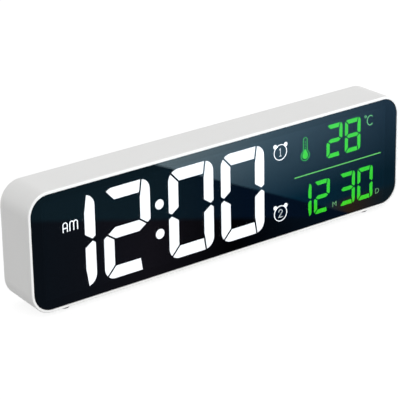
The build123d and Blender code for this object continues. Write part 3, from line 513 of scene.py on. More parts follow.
# Pad-printed ink on the back, the keys and the cells: a dull dark grey.
PRINT_INK = Moulded("pad_printed_ink", "46494C", "3F4245", 0.55, 0.4, 0.004, 0.3)
# Open-cell polyurethane ring: soft dark foam.
FOAM_GASKET = Celled("open_cell_foam", "2C2C2E", "151516", 0.8, 0.2)
# Pressed and zinc-plated steel basket: a dull grey metal with coarse streaks.
SPEAKER_STEEL = Metal("pressed_zinc_plated_steel", "A9ABAE", "8E9094", 0.4, 0.9, 0.02)
# Pressed paper pulp cone: matt black with short fibres.
SPEAKER_PAPER = Celled("pressed_paper_pulp", "232224", "17171A", 0.35, 0.06)
# PVC insulation on the leads: soft red-brown.
LEAD_SLEEVE = Moulded("pvc_lead_insulation", "7A2622", "6A1F1C", 0.4, 0.5, 0.01)
# Moulded ABS key tops: a cool light grey, a little glossier than the cover.
GREY_KEY = Moulded("grey_moulded_abs", "B9BCBF", "B3B6B9", 0.33, 0.7, 0.01)
# Black acetal plungers: waxy black.
PLUNGER_BLACK = Moulded("black_acetal", "151517", "101012", 0.35, 0.6, 0.005)
# Thermoplastic rubber feet: near black, with hardly any shine.
FOOT_RUBBER = Moulded("thermoplastic_rubber", "1A1A1B", "131314", 0.75, 0.5, 0.03, 0.2)


def dress(finish: Finish, *nodes: str) -> None:
    """Give solids of the frame a finish.

    Args:
        finish: the finish.
        nodes: the solids' names.
    """
    material = finish.material()
    for name in nodes:
        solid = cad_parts[name]
        if not solid.material_slots:
            solid.data.materials.append(material)
        for slot in solid.material_slots:
            slot.material = material
        LOG.info("dressed %s with %s", name, finish.name)


def middle_of(node: str) -> Point:
    """Return the middle of a solid's face, to the right and up, in millimetres."""
    low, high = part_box(node)
    return in_mm(low.x + high.x) / 2, in_mm(low.z + high.z) / 2


def rear_of(node: str) -> float:
    """Return how far back a solid's rear face is, in millimetres."""
    return in_mm(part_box(node)[1].y)


def deselect() -> None:
    """Leave every object out of the next step."""
    bpy.ops.object.select_all(action="DESELECT")


class Side(Enum):
    """The side of a disc or ring that a mark keeps: its direction to the right and up."""

    WHOLE = (0.0, 0.0)
    UPPER = (0.0, 1.0)
    LOWER = (0.0, -1.0)
    LEFT = (-1.0, 0.0)


@dataclass
class MarkMaker:
    """Makes flat upright marks out of bars, rings, discs and letters. Sizes in millimetres."""

    depth: float
    thickness: float
    facing: Place = (math.pi / 2, 0.0, 0.0)
    inset_share: float = 0.3
    tip_share: float = 0.08
    parts: List[Piece] = field(default_factory=list)

    def spot(self, place: Point) -> Vector:
        """Return a point of the mark's plane, in metres."""
        return Vector((mm(place[0]), mm(self.depth), mm(place[1])))

    def circle(self, place: Point, radius: float, corners: int, fill: str = "NGON") -> Vector:
        """Start a part from a circle, and open it for shaping.

        Args:
            place: its centre.
            radius: its radius.
            corners: how many corners it has.
            fill: how it is filled.

        Returns:
            The centre, in metres.
        """
        deselect()
        centre = self.spot(place)
        bpy.ops.mesh.primitive_circle_add(
            vertices=corners, radius=mm(radius), fill_type=fill, location=centre, rotation=self.facing,
        )
        bpy.ops.object.mode_set(mode="EDIT")
        return centre

    def turn(self, centre: Vector, degrees: float) -> None:
        """Turn the part that is open about its centre, left way round."""
        bpy.ops.mesh.select_all(action="SELECT")
        bpy.ops.transform.rotate(value=math.radians(degrees), orient_axis="Y", center_override=centre)

    def halve(self, centre: Vector, side: Side, reach: float = 0.0) -> None:
        """Cut away all but one side of the part that is open.

        Args:
            centre: the part's centre, in metres.
            side: the side that stays.
            reach: how far past the centre the part stays.
        """
        bpy.ops.mesh.select_all(action="SELECT")
        if side is not Side.WHOLE:
            normal = Vector((side.value[0], 0.0, side.value[1]))
            bpy.ops.mesh.bisect(
                plane_co=centre - mm(reach) * normal, plane_no=normal, clear_inner=True, threshold=CUT_SLACK,
            )
            bpy.ops.mesh.select_all(action="SELECT")

    def keep(self) -> None:
        """Put the part just shaped on the list of the mark's parts."""
        bpy.ops.object.mode_set(mode="OBJECT")
        self.parts.append(bpy.context.object)

    def bar(self, place: Point, width: float, height: float, turn: float = 0.0) -> None:
        """Make a straight bar.

        Args:
            place: its middle.
            width: its width before it is turned.
            height: its height before it is turned.
            turn: degrees that it is turned, left way round.
        """
        deselect()
        middle = self.spot(place)
        bpy.ops.mesh.primitive_plane_add(size=1.0, location=middle, rotation=self.facing)
        bpy.ops.object.mode_set(mode="EDIT")
        bpy.ops.transform.resize(value=(mm(width), 1.0, mm(height)), center_override=middle)
        if turn:
            self.turn(middle, turn)
        self.keep()

    def disc(self, place: Point, radius: float, side: Side = Side.WHOLE) -> None:
        """Make a filled disc or half of one.

        Args:
            place: its centre.
            radius: its radius.
            side: the side that stays.
        """
        centre = self.circle(place, radius, DISC_CORNERS)
        self.halve(centre, side)
        bpy.ops.mesh.inset(thickness=mm(radius * self.inset_share))
        self.keep()

    def drop(self, place: Point, radius: float, tip: float) -> None:
        """Make a drop: a disc that runs up to a point.

        Args:
            place: the disc's centre.
            radius: the disc's radius.
            tip: how far the point is above the centre.
        """
        centre = self.circle(place, radius, DISC_CORNERS)
        # The slopes to the point touch the disc at this height.
        shoulder = radius ** 2 / tip
        cut = centre + Vector((0.0, 0.0, mm(shoulder)))
        bpy.ops.mesh.bisect(plane_co=cut, plane_no=(0.0, 0.0, -1.0), clear_inner=True, threshold=CUT_SLACK)
        bpy.ops.mesh.extrude_edges_move(TRANSFORM_OT_translate={"value": (0.0, 0.0, mm(tip - shoulder))})
        bpy.ops.transform.resize(value=(self.tip_share, 1.0, 1.0), center_override=centre)
        self.keep()

    def wedge(self, place: Point, radius: float, corner: float, turn: float = 0.0) -> None:
        """Make a triangle with soft corners, which points up before it is turned.

        Args:
            place: its centre.
            radius: the distance of its corners from the centre.
            corner: how much of each corner is taken off.
            turn: degrees that it is turned, left way round.
        """
        centre = self.circle(place, radius, 3)
        bpy.ops.mesh.bevel(
            offset=mm(corner), offset_type="OFFSET", segments=SOFT_CORNERS, affect="VERTICES",
        )
        if turn:
            self.turn(centre, turn)
        self.keep()

    def ring(
        self, place: Point, radius: float, stroke: float, side: Side = Side.WHOLE, reach: float = 0.0,
        flat: float = 1.0,
    ) -> None:
        """Make a ring or a part of one.

        Args:
            place: its centre.
            radius: its outer radius.
            stroke: how wide its line is.
            side: the side that stays.
            reach: how far past the centre that side stays.
            flat: the ring's height as a share of its width.
        """
        centre = self.circle(place, radius, RING_CORNERS, fill="NOTHING")
        inner = (radius - stroke) / radius
        bpy.ops.mesh.extrude_edges_move()
        bpy.ops.transform.resize(value=(inner, inner, inner), center_override=centre)
        self.halve(centre, side, reach)
        if flat != 1.0:
            bpy.ops.transform.resize(value=(1.0, 1.0, flat), center_override=centre)
        self.keep()

    def letter(self, text: str, place: Point, height: float) -> None:
        """Make a letter as outlines filled flat.

        Args:
            text: the letter.
            place: its middle.
            height: its height.
        """
        deselect()
        bpy.ops.object.text_add(location=(0.0, 0.0, 0.0), rotation=(0.0, 0.0, 0.0))
        bpy.context.object.data.body = text
        bpy.ops.object.convert(target="MESH")
        shape = bpy.context.object
        across = [corner.co.x for corner in shape.data.vertices]
        upward = [corner.co.y for corner in shape.data.vertices]
        middle = Vector((min(across) + max(across), min(upward) + max(upward), 0.0)) / 2
        shape.data.transform(Matrix.Translation(-middle))
        shape.data.transform(Matrix.Scale(mm(height) / (max(upward) - min(upward)), 4))
        shape.rotation_euler = self.facing
        shape.location = self.spot(place)
        bpy.ops.object.mode_set(mode="EDIT")
        bpy.ops.mesh.select_all(action="SELECT")
        bpy.ops.mesh.remove_doubles(threshold=MERGE_SLACK)
        self.keep()

    def finish(self, name: str, finish: Finish, body: str, slot: str) -> Piece:
        """Join the parts into one mark of even thickness.

        Args:
            name: the mark's name.
            finish: its finish.
            body: the body that it rides on.
            slot: the record's material slot; not used.

        Returns:
            The finished mark.
        """
        deselect()
        for part in self.parts:
            part.select_set(True)
        bpy.context.view_layer.objects.active = self.parts[0]
        if len(self.parts) > 1:
            bpy.ops.object.join()
        mark = bpy.context.object
        bpy.ops.object.transform_apply(location=True, rotation=True, scale=True)
        bpy.ops.object.mode_set(mode="EDIT")
        bpy.ops.mesh.select_all(action="SELECT")
        bpy.ops.mesh.extrude_region_move(TRANSFORM_OT_translate={"value": (0.0, mm(self.thickness), 0.0)})
        bpy.ops.mesh.select_all(action="SELECT")
        bpy.ops.mesh.normals_make_consistent(inside=False)
        bpy.ops.object.mode_set(mode="OBJECT")
        bpy.ops.object.origin_set(type="ORIGIN_CURSOR")
        mark.data.materials.clear()
        mark.data.materials.append(finish.material())
        self.parts = []
        return self.settle(mark, name, body)

    def twin(self, mark: Piece, name: str, shift: Vector, body: str) -> Piece:
        """Copy a finished mark, with a mesh of its own, to another place.

        Args:
            mark: the mark.
            name: the copy's name.
            shift: from the mark to its copy, in metres.
            body: the body that the copy rides on.

        Returns:
            The copy.
        """
        deselect()
        mark.select_set(True)
        bpy.context.view_layer.objects.active = mark
        bpy.ops.object.duplicate(linked=False)
        copy = bpy.context.object
        bpy.ops.object.mode_set(mode="EDIT")
        bpy.ops.mesh.select_all(action="SELECT")
        bpy.ops.transform.translate(value=shift)
        bpy.ops.object.mode_set(mode="OBJECT")
        return self.settle(copy, name, body)

    def settle(self, mark: Piece, name: str, body: str) -> Piece:
        """Name a mark, and make it move with a body.

        Args:
            mark: the mark.
            name: its name.
            body: the body that it rides on.

        Returns:
            The mark.
        """
        mark.name = name
        mark.data.name = name
        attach(mark, body)
        LOG.info("made %s", name)
        return mark


class Assembly:
    """A sub-assembly of the clock."""

    def dress(self) -> None:
        """Give each solid of the sub-assembly its finish."""
        raise NotImplementedError

    def build(self) -> None:
        """Make the marks that the solids carry: none, unless the sub-assembly has some."""


@dataclass
class Housing(Assembly):
    """The white case with its cover, door, screws and feet. Sizes in millimetres."""

    feet: Tuple[str, ...] = ("foot_front_left", "foot_front_right", "foot_rear_left", "foot_rear_right")
    ink: float = 0.06
    arrow_inset: float = 12.5
    arrow_radius: float = 1.9
    arrow_corner: float = 0.3
    current_reach: float = 10.0
    current_length: float = 3.6
    current_stroke: float = 0.5

    def dress(self) -> None:
        """Give each piece of the housing its finish."""
        dress(WHITE_ABS, "case_shell")
        dress(TEXTURED_ABS, "rear_cover", "battery_door")
        dress(ZINC_SCREW, "cover_screws")
        dress(FOOT_RUBBER, *self.feet)

    def build(self) -> None:
        """Print the signs on the back: the door's arrow, and the sign for direct current at the socket."""
        maker = MarkMaker(rear_of("battery_door") - LAID_IN, self.ink + LAID_IN)
        edge = in_mm(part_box("battery_door")[1].x)
        arrow = (edge - self.arrow_inset, middle_of("battery_door")[1])
        maker.wedge(arrow, self.arrow_radius, self.arrow_corner, turn=-90.0)
        maker.finish("door_arrow", PRINT_INK, "door", "black_film")
        x, z = middle_of("usb_shell")
        x -= self.current_reach
        maker.bar((x, z + self.current_stroke), self.current_length, self.current_stroke)
        # Three dashes and the two gaps between them are as long as the line above.
        dash = self.current_length / 5
        for step in (-2, 0, 2):
            maker.bar((x + step * dash, z - self.current_stroke), dash, self.current_stroke)
        maker.finish("direct_current_sign", PRINT_INK, "clock", "black_film")


@dataclass
class Window(Assembly):
    """The smoked panel with the film and tape behind it."""

    def dress(self) -> None:
        """Give the panel, its film and its tape their finishes."""
        dress(SMOKED_ACRYLIC, "front_lens")
        dress(BLACK_FILM, "lens_mask")
        dress(BLACK_TAPE, "lens_tape")


@dataclass
class Display(Assembly):
    """The light box with its lit figures, and the small marks on its face.

    Sizes are in millimetres, and places are given from the panel's middle, to the right and up.
    """

    centre_height: float = 27.1
    mark_depth: float = -8.51
    mark_thickness: float = 0.16
    morning_left: float = -80.9
    morning_low: float = 6.0
    morning_height: float = 4.2
    crossbar_share: float = 0.4
    letter_stroke: float = 0.38
    first_letter: float = 2.4
    letter_gap: float = 0.85
    second_arch: float = 2.2
    alarm_x: float = 30.4
    alarm_rows: Point = (13.3, -14.55)
    alarm_radius: float = 3.6
    alarm_stroke: float = 0.35
    bell_radius: float = 0.95
    bell_reach: float = 2.9
    bell_rise: float = 3.05
    figure_height: float = 3.7
    figure_stroke: float = 0.28
    foot_width: float = 1.2
    flag_length: float = 0.8
    flag_shift: Point = (-0.4, -0.5)
    flag_turn: float = 40.0
    bowl_radius: float = 1.15
    bulb: Point = (44.2, 8.6)
    bulb_radius: float = 2.5
    fluid_radius: float = 1.55
    fluid_tip: float = 2.9
    tube_width: float = 2.4
    tube_top: float = 16.85
    tube_stroke: float = 0.3
    ticks: Tuple[float, ...] = (3.6, 4.88, 6.16)
    tick_size: Point = (0.55, 0.45)
    degree: Point = (78.75, 18.3)
    degree_radius: float = 0.6
    degree_stroke: float = 0.24
    celsius: Point = (81.55, 16.1)
    celsius_size: Point = (3.9, 4.8)
    celsius_reach: float = 1.2
    celsius_stroke: float = 0.34
    month: Point = (61.05, -18.1)
    day: Point = (86.25, -18.2)
    unit_height: float = 2.4

    def up(self, x: float, z: float) -> Point:
        """Return a point given from the panel's middle as one given from the floor."""
        return x, z + self.centre_height

    def dress(self) -> None:
        """Give the light box, the diffusers and the lamps their finishes."""
        dress(BLACK_REFLECTOR, "reflector_block")
        dress(WHITE_LIGHT, "time_segments")
        dress(GREEN_LIGHT, "green_segments")
        dress(DARK_RESIN, "dark_segments")
        dress(WHITE_LAMP, "white_leds")
        dress(GREEN_LAMP, "green_leds")

    def build(self) -> None:
        """Make every small mark of the display."""
        maker = MarkMaker(self.mark_depth, self.mark_thickness)
        self.morning_mark(maker)
        self.alarm_marks(maker)
        self.thermometer(maker)
        self.celsius_mark(maker)
        maker.letter("M", self.up(*self.month), self.unit_height)
        maker.finish("month_mark", DIM_GREEN_LIGHT, "clock", "green_light")
        maker.letter("D", self.up(*self.day), self.unit_height)
        maker.finish("day_mark", DIM_GREEN_LIGHT, "clock", "green_light")

    def arch(self, maker: MarkMaker, left: float, width: float, legs: Tuple[int, ...] = (0, 1)) -> None:
        """Make one arch of a letter: a half ring on its legs.

        Args:
            maker: makes the parts.
            left: the arch's left edge.
            width: its outer width.
            legs: the legs that it has of its own, 0 at the left and 1 at the right.
        """
        radius = width / 2
        spring = self.morning_low + self.morning_height - radius
        tall = spring - self.morning_low
        maker.ring(self.up(left + radius, spring), radius, self.letter_stroke, Side.UPPER)
        for leg in legs:
            x = left + self.letter_stroke / 2 + leg * (width - self.letter_stroke)
            maker.bar(self.up(x, self.morning_low + tall / 2), self.letter_stroke, tall)

    def morning_mark(self, maker: MarkMaker) -> None:
        """Make the two letters of the morning sign from arches.

        Args:
            maker: makes the parts.
        """
        self.arch(maker, self.morning_left, self.first_letter)
        crossbar = self.morning_low + self.morning_height * self.crossbar_share
        maker.bar(
            self.up(self.morning_left + self.first_letter / 2, crossbar),
            self.first_letter - 2 * self.letter_stroke, self.letter_stroke,
        )
        second = self.morning_left + self.first_letter + self.letter_gap
        self.arch(maker, second, self.second_arch)
        self.arch(maker, second + self.second_arch - self.letter_stroke, self.second_arch, legs=(1,))
        maker.finish("morning_mark", WHITE_LIGHT, "clock", "white_light")

    def alarm_marks(self, maker: MarkMaker) -> None:
        """Make the two alarm signs: a ring with two bells, its copy, and a number in each.

        Args:
            maker: makes the parts.
        """
        upper, lower = self.alarm_rows
        maker.ring(self.up(self.alarm_x, upper), self.alarm_radius, self.alarm_stroke)
        for side in (-1, 1):
            bell = self.up(self.alarm_x + side * self.bell_reach, upper + self.bell_rise)
            maker.disc(bell, self.bell_radius)
        ring = maker.finish("alarm_ring_1", WHITE_LIGHT, "clock", "white_light")
        maker.twin(ring, "alarm_ring_2", Vector((0.0, 0.0, mm(lower - upper))), "clock")
        self.figure_one(maker, upper)
        maker.finish("alarm_figure_1", SOFT_WHITE_LIGHT, "clock", "white_light")
        self.figure_two(maker, lower)
        maker.finish("alarm_figure_2", SOFT_WHITE_LIGHT, "clock", "white_light")

    def figure_one(self, maker: MarkMaker, row: float) -> None:
        """Make a thin figure one with a foot and a flag.

        Args:
            maker: makes the parts.
            row: the height of its middle.
        """
        half = self.figure_height / 2
        stroke = self.figure_stroke
        maker.bar(self.up(self.alarm_x, row + stroke / 2), stroke, self.figure_height - stroke)
        maker.bar(self.up(self.alarm_x, row - half + stroke / 2), self.foot_width, stroke)
        flag = self.up(self.alarm_x + self.flag_shift[0], row + half + self.flag_shift[1])
        maker.bar(flag, self.flag_length, stroke, turn=self.flag_turn)

    def figure_two(self, maker: MarkMaker, row: float) -> None:
        """Make a thin figure two from a half ring, a slope and a foot.

        Args:
            maker: makes the parts.
            row: the height of its middle.
        """
        half = self.figure_height / 2
        stroke = self.figure_stroke
        bowl = self.bowl_radius
        spring = row + half - bowl
        run = 2 * bowl - stroke
        fall = spring - (row - half + stroke)
        maker.ring(self.up(self.alarm_x, spring), bowl, stroke, Side.UPPER)
        slope = math.degrees(math.atan2(fall, run))
        middle = self.up(self.alarm_x, (spring + row - half + stroke) / 2)
        maker.bar(middle, math.hypot(run, fall), stroke, turn=slope)
        maker.bar(self.up(self.alarm_x, row - half + stroke / 2), 2 * bowl, stroke)

    def thermometer(self, maker: MarkMaker) -> None:
        """Make the thermometer sign: a drop in an open ring, and a tube with ticks.

        Args:
            maker: makes the parts.
        """
        x, z = self.bulb
        neck = math.sqrt(self.bulb_radius ** 2 - (self.tube_width / 2) ** 2)
        tube_low = z + neck
        spring = self.tube_top - self.tube_width / 2
        maker.ring(self.up(x, z), self.bulb_radius, self.tube_stroke, Side.LOWER, neck)
        for side in (-1, 1):
            wall_x = x + side * (self.tube_width - self.tube_stroke) / 2
            maker.bar(self.up(wall_x, (tube_low + spring) / 2), self.tube_stroke, spring - tube_low)
        maker.ring(self.up(x, spring), self.tube_width / 2, self.tube_stroke, Side.UPPER)
        for tick in self.ticks:
            maker.bar(self.up(x, z + tick), *self.tick_size)
        maker.finish("thermometer_outline", SOFT_GREEN_LIGHT, "clock", "green_light")
        maker.drop(self.up(x, z), self.fluid_radius, self.fluid_tip)
        maker.finish("thermometer_fluid", GREEN_LIGHT, "clock", "green_light")

    def celsius_mark(self, maker: MarkMaker) -> None:
        """Make the sign for degrees Celsius: a small ring, and a tall ring that is open at its right.

        Args:
            maker: makes the parts.
        """
        width, height = self.celsius_size
        maker.ring(self.up(*self.degree), self.degree_radius, self.degree_stroke)
        maker.ring(
            self.up(*self.celsius), width / 2, self.celsius_stroke,
            Side.LEFT, self.celsius_reach, flat=height / width,
        )
        maker.finish("celsius_mark", PALE_GREEN_LIGHT, "clock", "green_light")


@dataclass
class Electronics(Assembly):
    """The two boards with what is soldered or screwed to them."""

    def dress(self) -> None:
        """Give boards, chips and fittings their finishes."""
        dress(GREEN_BOARD, "display_board", "rear_board")
        dress(BLACK_MOULDING, "driver_chip", "clock_chip", "board_header", "tact_switches", "usb_insert")
        dress(BRIGHT_CAN, "quartz_crystal", "usb_shell")
        dress(ALUMINIUM_CAN, "capacitor")
        dress(SENSOR_BEAD, "temperature_sensor")
        dress(ZINC_SCREW, "board_screws", "rear_board_screws")


@dataclass
class PowerBay(Assembly):
    """The three cells and the leaf contacts that join them. Sizes in millimetres."""

    cells: Tuple[str, ...] = ("battery_cell_1", "battery_cell_2", "battery_cell_3")
    senses: Tuple[int, ...] = (1, -1, 1)
    contacts: Tuple[str, ...] = (
        "contact_negative", "contact_left_bridge", "contact_right_bridge", "contact_positive",
    )
    sign_reach: float = 18.4
    sign_size: float = 2.0
    sign_stroke: float = 0.5

    def dress(self) -> None:
        """Give the cells and contacts their finishes."""
        dress(CELL_SLEEVE, *self.cells)
        dress(NICKEL_CONTACT, *self.contacts)

    def build(self) -> None:
        """Print a plus near each cell's nub and a minus near its flat end."""
        arm = (self.sign_size - self.sign_stroke) / 2
        for name, sense in zip(self.cells, self.senses):
            maker = MarkMaker(rear_of(name) - 2 * LAID_IN, 3 * LAID_IN)
            plus_x = sense * self.sign_reach
            z = middle_of(name)[1]
            maker.bar((plus_x, z), self.sign_size, self.sign_stroke)
            for side in (-1, 1):
                maker.bar((plus_x, z + side * (self.sign_stroke + arm) / 2), self.sign_stroke, arm)
            maker.bar((-plus_x, z), self.sign_size, self.sign_stroke)
            maker.finish(name + "_signs", PRINT_INK, "clock", "cell_sleeve")


@dataclass
class Speaker(Assembly):
    """The small speaker behind the grille."""

    def dress(self) -> None:
        """Give the speaker's pieces their finishes."""
        dress(SPEAKER_STEEL, "speaker_frame", "speaker_magnet")
        dress(SPEAKER_PAPER, "speaker_cone")
        dress(FOAM_GASKET, "speaker_gasket")
        dress(LEAD_SLEEVE, "speaker_leads")


@dataclass
class Keys(Assembly):
    """The five keys on the back with the switch plungers that they push. Sizes in millimetres."""

    names: Tuple[str, ...] = ("mode", "set", "up", "down", "alarm")
    ink: float = 0.06
    stroke: float = 0.45
    radius: float = 1.5
    dot_radius: float = 0.525
    arrow_radius: float = 1.65
    arrow_shift: float = 0.25
    arrow_corner: float = 0.2
    dome_radius: float = 1.125
    dome_rise: float = 0.3
    waist_drop: float = 0.1
    waist_height: float = 0.8
    brim_drop: float = 0.7
    brim_height: float = 0.4
    clapper_drop: float = 1.25
    clapper_radius: float = 0.3

    def dress(self) -> None:
        """Give keys and plungers their finishes."""
        dress(GREY_KEY, *(name + "_key" for name in self.names))
        dress(PLUNGER_BLACK, *(name + "_plunger" for name in self.names))

    def build(self) -> None:
        """Print a plain sign on each key."""
        signs: Dict[str, Callable[[MarkMaker, Point], None]] = {
            "mode": self.list_sign, "set": self.target_sign, "up": self.up_sign,
            "down": self.down_sign, "alarm": self.bell_sign,
        }
        for name in self.names:
            key = name + "_key"
            maker = MarkMaker(rear_of(key) - LAID_IN, self.ink + LAID_IN)
            signs[name](maker, middle_of(key))
            maker.finish(name + "_sign", PRINT_INK, name + "_key", "black_film")

    def list_sign(self, maker: MarkMaker, place: Point) -> None:
        """Draw three lines."""
        for step in (-1, 0, 1):
            maker.bar((place[0], place[1] + step * 2 * self.stroke), 2 * self.radius, self.stroke)

    def target_sign(self, maker: MarkMaker, place: Point) -> None:
        """Draw a ring with a dot in it."""
        maker.ring(place, self.radius, self.stroke)
        maker.disc(place, self.dot_radius)

    def up_sign(self, maker: MarkMaker, place: Point) -> None:
        """Draw a triangle that points up."""
        maker.wedge((place[0], place[1] - self.arrow_shift), self.arrow_radius, self.arrow_corner)

    def down_sign(self, maker: MarkMaker, place: Point) -> None:
        """Draw a triangle that points down."""
        middle = (place[0], place[1] + self.arrow_shift)
        maker.wedge(middle, self.arrow_radius, self.arrow_corner, turn=180.0)

    def bell_sign(self, maker: MarkMaker, place: Point) -> None:
        """Draw a bell: a dome, its waist, its brim and its clapper.

        Args:
            maker: makes the parts.
            place: the sign's middle.
        """
        x, z = place
        maker.disc((x, z + self.dome_rise), self.dome_radius, Side.UPPER)
        maker.bar((x, z - self.waist_drop), 2 * self.dome_radius, self.waist_height)
        maker.bar((x, z - self.brim_drop), 2 * self.radius, self.brim_height)
        maker.disc((x, z - self.clapper_drop), self.clapper_radius)


@dataclass(frozen=True)
class Edge:
    """A soft edge in what the panel mirrors: the way across it, and where it starts and ends that way.

    The way is to the right and up on the panel, and the distances are in millimetres.
    """

    across: Point
    starts: float
    ends: float


@dataclass
class Studio:
    """The floor, the lamps, the dark glowing card that paints the panel's reflection, and the camera.

    The camera's lengths and those on the panel are in millimetres, and angles in degrees. The floor, the
    lamps and the card are in metres and watts.
    """

    panel_middle: Place = (0.0, -10.1, 27.1)
    panel_front: float = -10.05
    azimuth: float = -37.3024
    elevation: float = 21.6254
    roll: float = -1.0329
    slide: Point = (-10.82, -0.30)
    distance: float = 828.63
    lens: float = 178.92
    sensor: float = 36.0
    nearest: float = 10.0
    world_level: float = 0.755
    floor_size: float = 8.0
    floor_colour: str = "8C8C8C"
    floor_lift: float = 0.84
    lamp_size: Point = (1.1, 0.4)
    lamp_aim: Place = (0.0, 0.0, 0.03)
    softboxes: Tuple[Tuple[str, float, Place], ...] = (
        ("front_softbox", 14.0, (0.55, -1.25, 0.22)),
        ("side_softbox", 1.15, (-1.35, -0.2, 0.25)),
        ("rear_softbox", 1.8, (-0.3, 1.4, 0.2)),
    )
    # The card's glow is a painted reflection: its tones and edges below are laid out across the panel, in
    # millimetres.
    card_size: Point = (2.4, 1.2)
    card_place: Place = (0.0, -0.6115, 0.0003)
    card_strength: float = 21.5
    field_high: Tones = ((-30.0, "5A6A71"), (25.0, "3B505D"), (90.0, "203241"))
    field_low: Tones = ((25.0, "042232"), (90.0, "081C27"))
    field_foot: Tones = ((52.0, "042232"), (68.0, "271E16"), (90.0, "0E1A20"))
    room_high: Tones = ((-90.0, "0F1D24"), (-36.0, "0D1B22"), (10.0, "040E1C"))
    room_low: Tones = ((-90.0, "0C1117"), (-40.0, "121116"), (4.0, "030304"), (60.0, "06101A"))
    foot_edge: Edge = Edge((0.0, 1.0), 8.0, 11.0)
    field_rise: Edge = Edge((0.0, 1.0), 17.0, 50.0)
    room_edge: Edge = Edge((0.25, 1.0), 17.1, 19.1)
    field_edge: Edge = Edge((0.419, 0.908), 30.8, 31.8)

    def build(self) -> None:
        """Set up everything that is round the object."""
        bpy.context.scene.view_settings.view_transform = "Standard"
        self.world()
        self.floor()
        self.card()
        for name, power, place in self.softboxes:
            self.softbox(name, power, place)
        self.camera()

    def shown(self, tree: Tree) -> Link:
        """Return the socket that is 1 where the camera, gloss or glass looks, and 0 where light only falls.

        Args:
            tree: the node tree of the floor or the world.

        Returns:
            The socket.
        """
        path = add_node(tree, "LightPath", {}, {})
        seen = path.outputs["Is Camera Ray"]
        for ray in ("Is Glossy Ray", "Is Transmission Ray"):
            either = add_node(tree, "Math", {"operation": "MAXIMUM"}, {0: seen, 1: path.outputs[ray]})
            seen = either.outputs[0]
        return seen

    def world(self) -> None:
        """Light from all round, white where the camera, gloss or glass sees it."""
        world = bpy.data.worlds.new("studio_sky")
        bpy.context.scene.world = world
        world.use_nodes = True
        tree = world.node_tree
        tree.nodes.clear()
        level = add_node(
            tree, "MapRange", {"To Min": self.world_level, "To Max": 1.0}, {"Value": self.shown(tree)},
        )
        sky = add_node(
            tree, "Background", {"Color": linear("FFFFFF")}, {"Strength": level.outputs["Result"]},
        )
        add_node(tree, "OutputWorld", {}, {"Surface": sky.outputs[0]})

    def floor(self) -> None:
        """Lay a pale floor that keeps the object's shadow and is white where the camera sees it lit."""
        deselect()
        bpy.ops.mesh.primitive_plane_add(size=self.floor_size, location=(0.0, 0.0, 0.0))
        floor = bpy.context.object
        floor.name = "studio_floor"
        material, tree = new_material("pale_studio_floor")
        lift = add_node(
            tree, "Math", {"operation": "MULTIPLY", 1: self.floor_lift}, {0: self.shown(tree)},
        )
        shader = add_node(
            tree, "BsdfPrincipled",
            {
                "Base Color": linear(self.floor_colour), "Roughness": 0.9, "Specular IOR Level": 0.0,
                "Emission Color": linear("FFFFFF"),
            },
            {"Emission Strength": lift.outputs[0]},
        )
        show(tree, shader)
        floor.data.materials.append(material)

    def card(self) -> None:
        """Lay a dark graded card before the clock, which only polished surfaces see; its glow is a painted
        reflection on the panel.
        """
        deselect()
        bpy.ops.mesh.primitive_plane_add(size=1.0, location=(0.0, 0.0, 0.0))
        card = bpy.context.object
        card.name = "painted_reflection_card"
        bpy.ops.object.mode_set(mode="EDIT")
        bpy.ops.transform.resize(value=(*self.card_size, 1.0))
        bpy.ops.transform.translate(value=self.card_place)
        bpy.ops.object.mode_set(mode="OBJECT")
        card.data.materials.append(self.card_material())
        # Only gloss and glass see the card, so its glow stays a painted reflection and lights nothing else.
        card.visible_camera = False
        card.visible_diffuse = False
        card.visible_volume_scatter = False
        card.visible_shadow = False

    def panel_place(self, tree: Tree) -> Link:
        """Find the place on the panel at which the photograph shows a point of the card.

        Args:
            tree: the card's node tree.

        Returns:
            The socket with that place, to the right and up from the floor's middle, in metres.
        """
        eye = self.viewpoint()[0]
        front = mm(self.panel_front)
        mirrored = 2 * front - eye.y
        # The part of the way from the mirrored camera to the card at which the ray meets the panel.
        apart = add_node(tree, "SeparateXYZ", {}, {"Vector": place_on(tree)})
        beyond = add_node(tree, "Math", {"operation": "SUBTRACT", 0: mirrored}, {1: apart.outputs["Y"]})
        share = add_node(tree, "Math", {"operation": "DIVIDE", 0: mirrored - front}, {1: beyond.outputs[0]})
        height = add_node(
            tree, "Math", {"operation": "MULTIPLY_ADD", 1: -eye.z, 2: eye.z}, {0: share.outputs[0]},
        )
        aside = add_node(tree, "Math", {"operation": "SUBTRACT", 1: eye.x}, {0: apart.outputs["X"]})
        across = add_node(
            tree, "Math", {"operation": "MULTIPLY_ADD", 2: eye.x},
            {0: aside.outputs[0], 1: share.outputs[0]},
        )
        place = add_node(tree, "CombineXYZ", {}, {"X": across.outputs[0], "Y": height.outputs[0]})
        return place.outputs["Vector"]

    def card_material(self) -> Material:
        """Grade the card's glow into a painted reflection, so that the panel mirrors a dim room with one
        slanting bright field.

        Returns:
            The card's material.
        """
        material, tree = new_material("painted_reflection_glow")
        panel = self.panel_place(tree)

        def past(edge: Edge) -> Link:
            """Return the socket that goes from 0 to 1 across an edge.

            Args:
                edge: the edge.

            Returns:
                The socket.
            """
            reach = add_node(
                tree, "VectorMath", {"operation": "DOT_PRODUCT", 1: (*edge.across, 0.0)}, {0: panel},
            )
            part = add_node(
                tree, "MapRange", {"From Min": mm(edge.starts), "From Max": mm(edge.ends)},
                {"Value": reach.outputs["Value"]},
            )
            return part.outputs["Result"]

        def graded(tones: Tones) -> Link:
            """Return the socket of a colour that changes along the panel.

            Args:
                tones: places in millimetres, from left to right, with their colours.

            Returns:
                The socket.
            """
            left, right = tones[0][0], tones[-1][0]
            stops = tuple(((place - left) / (right - left), tone) for place, tone in tones)
            ramp = add_node(tree, "ValToRGB", {}, {"Fac": past(Edge((1.0, 0.0), left, right))}, stops)
            return ramp.outputs["Color"]

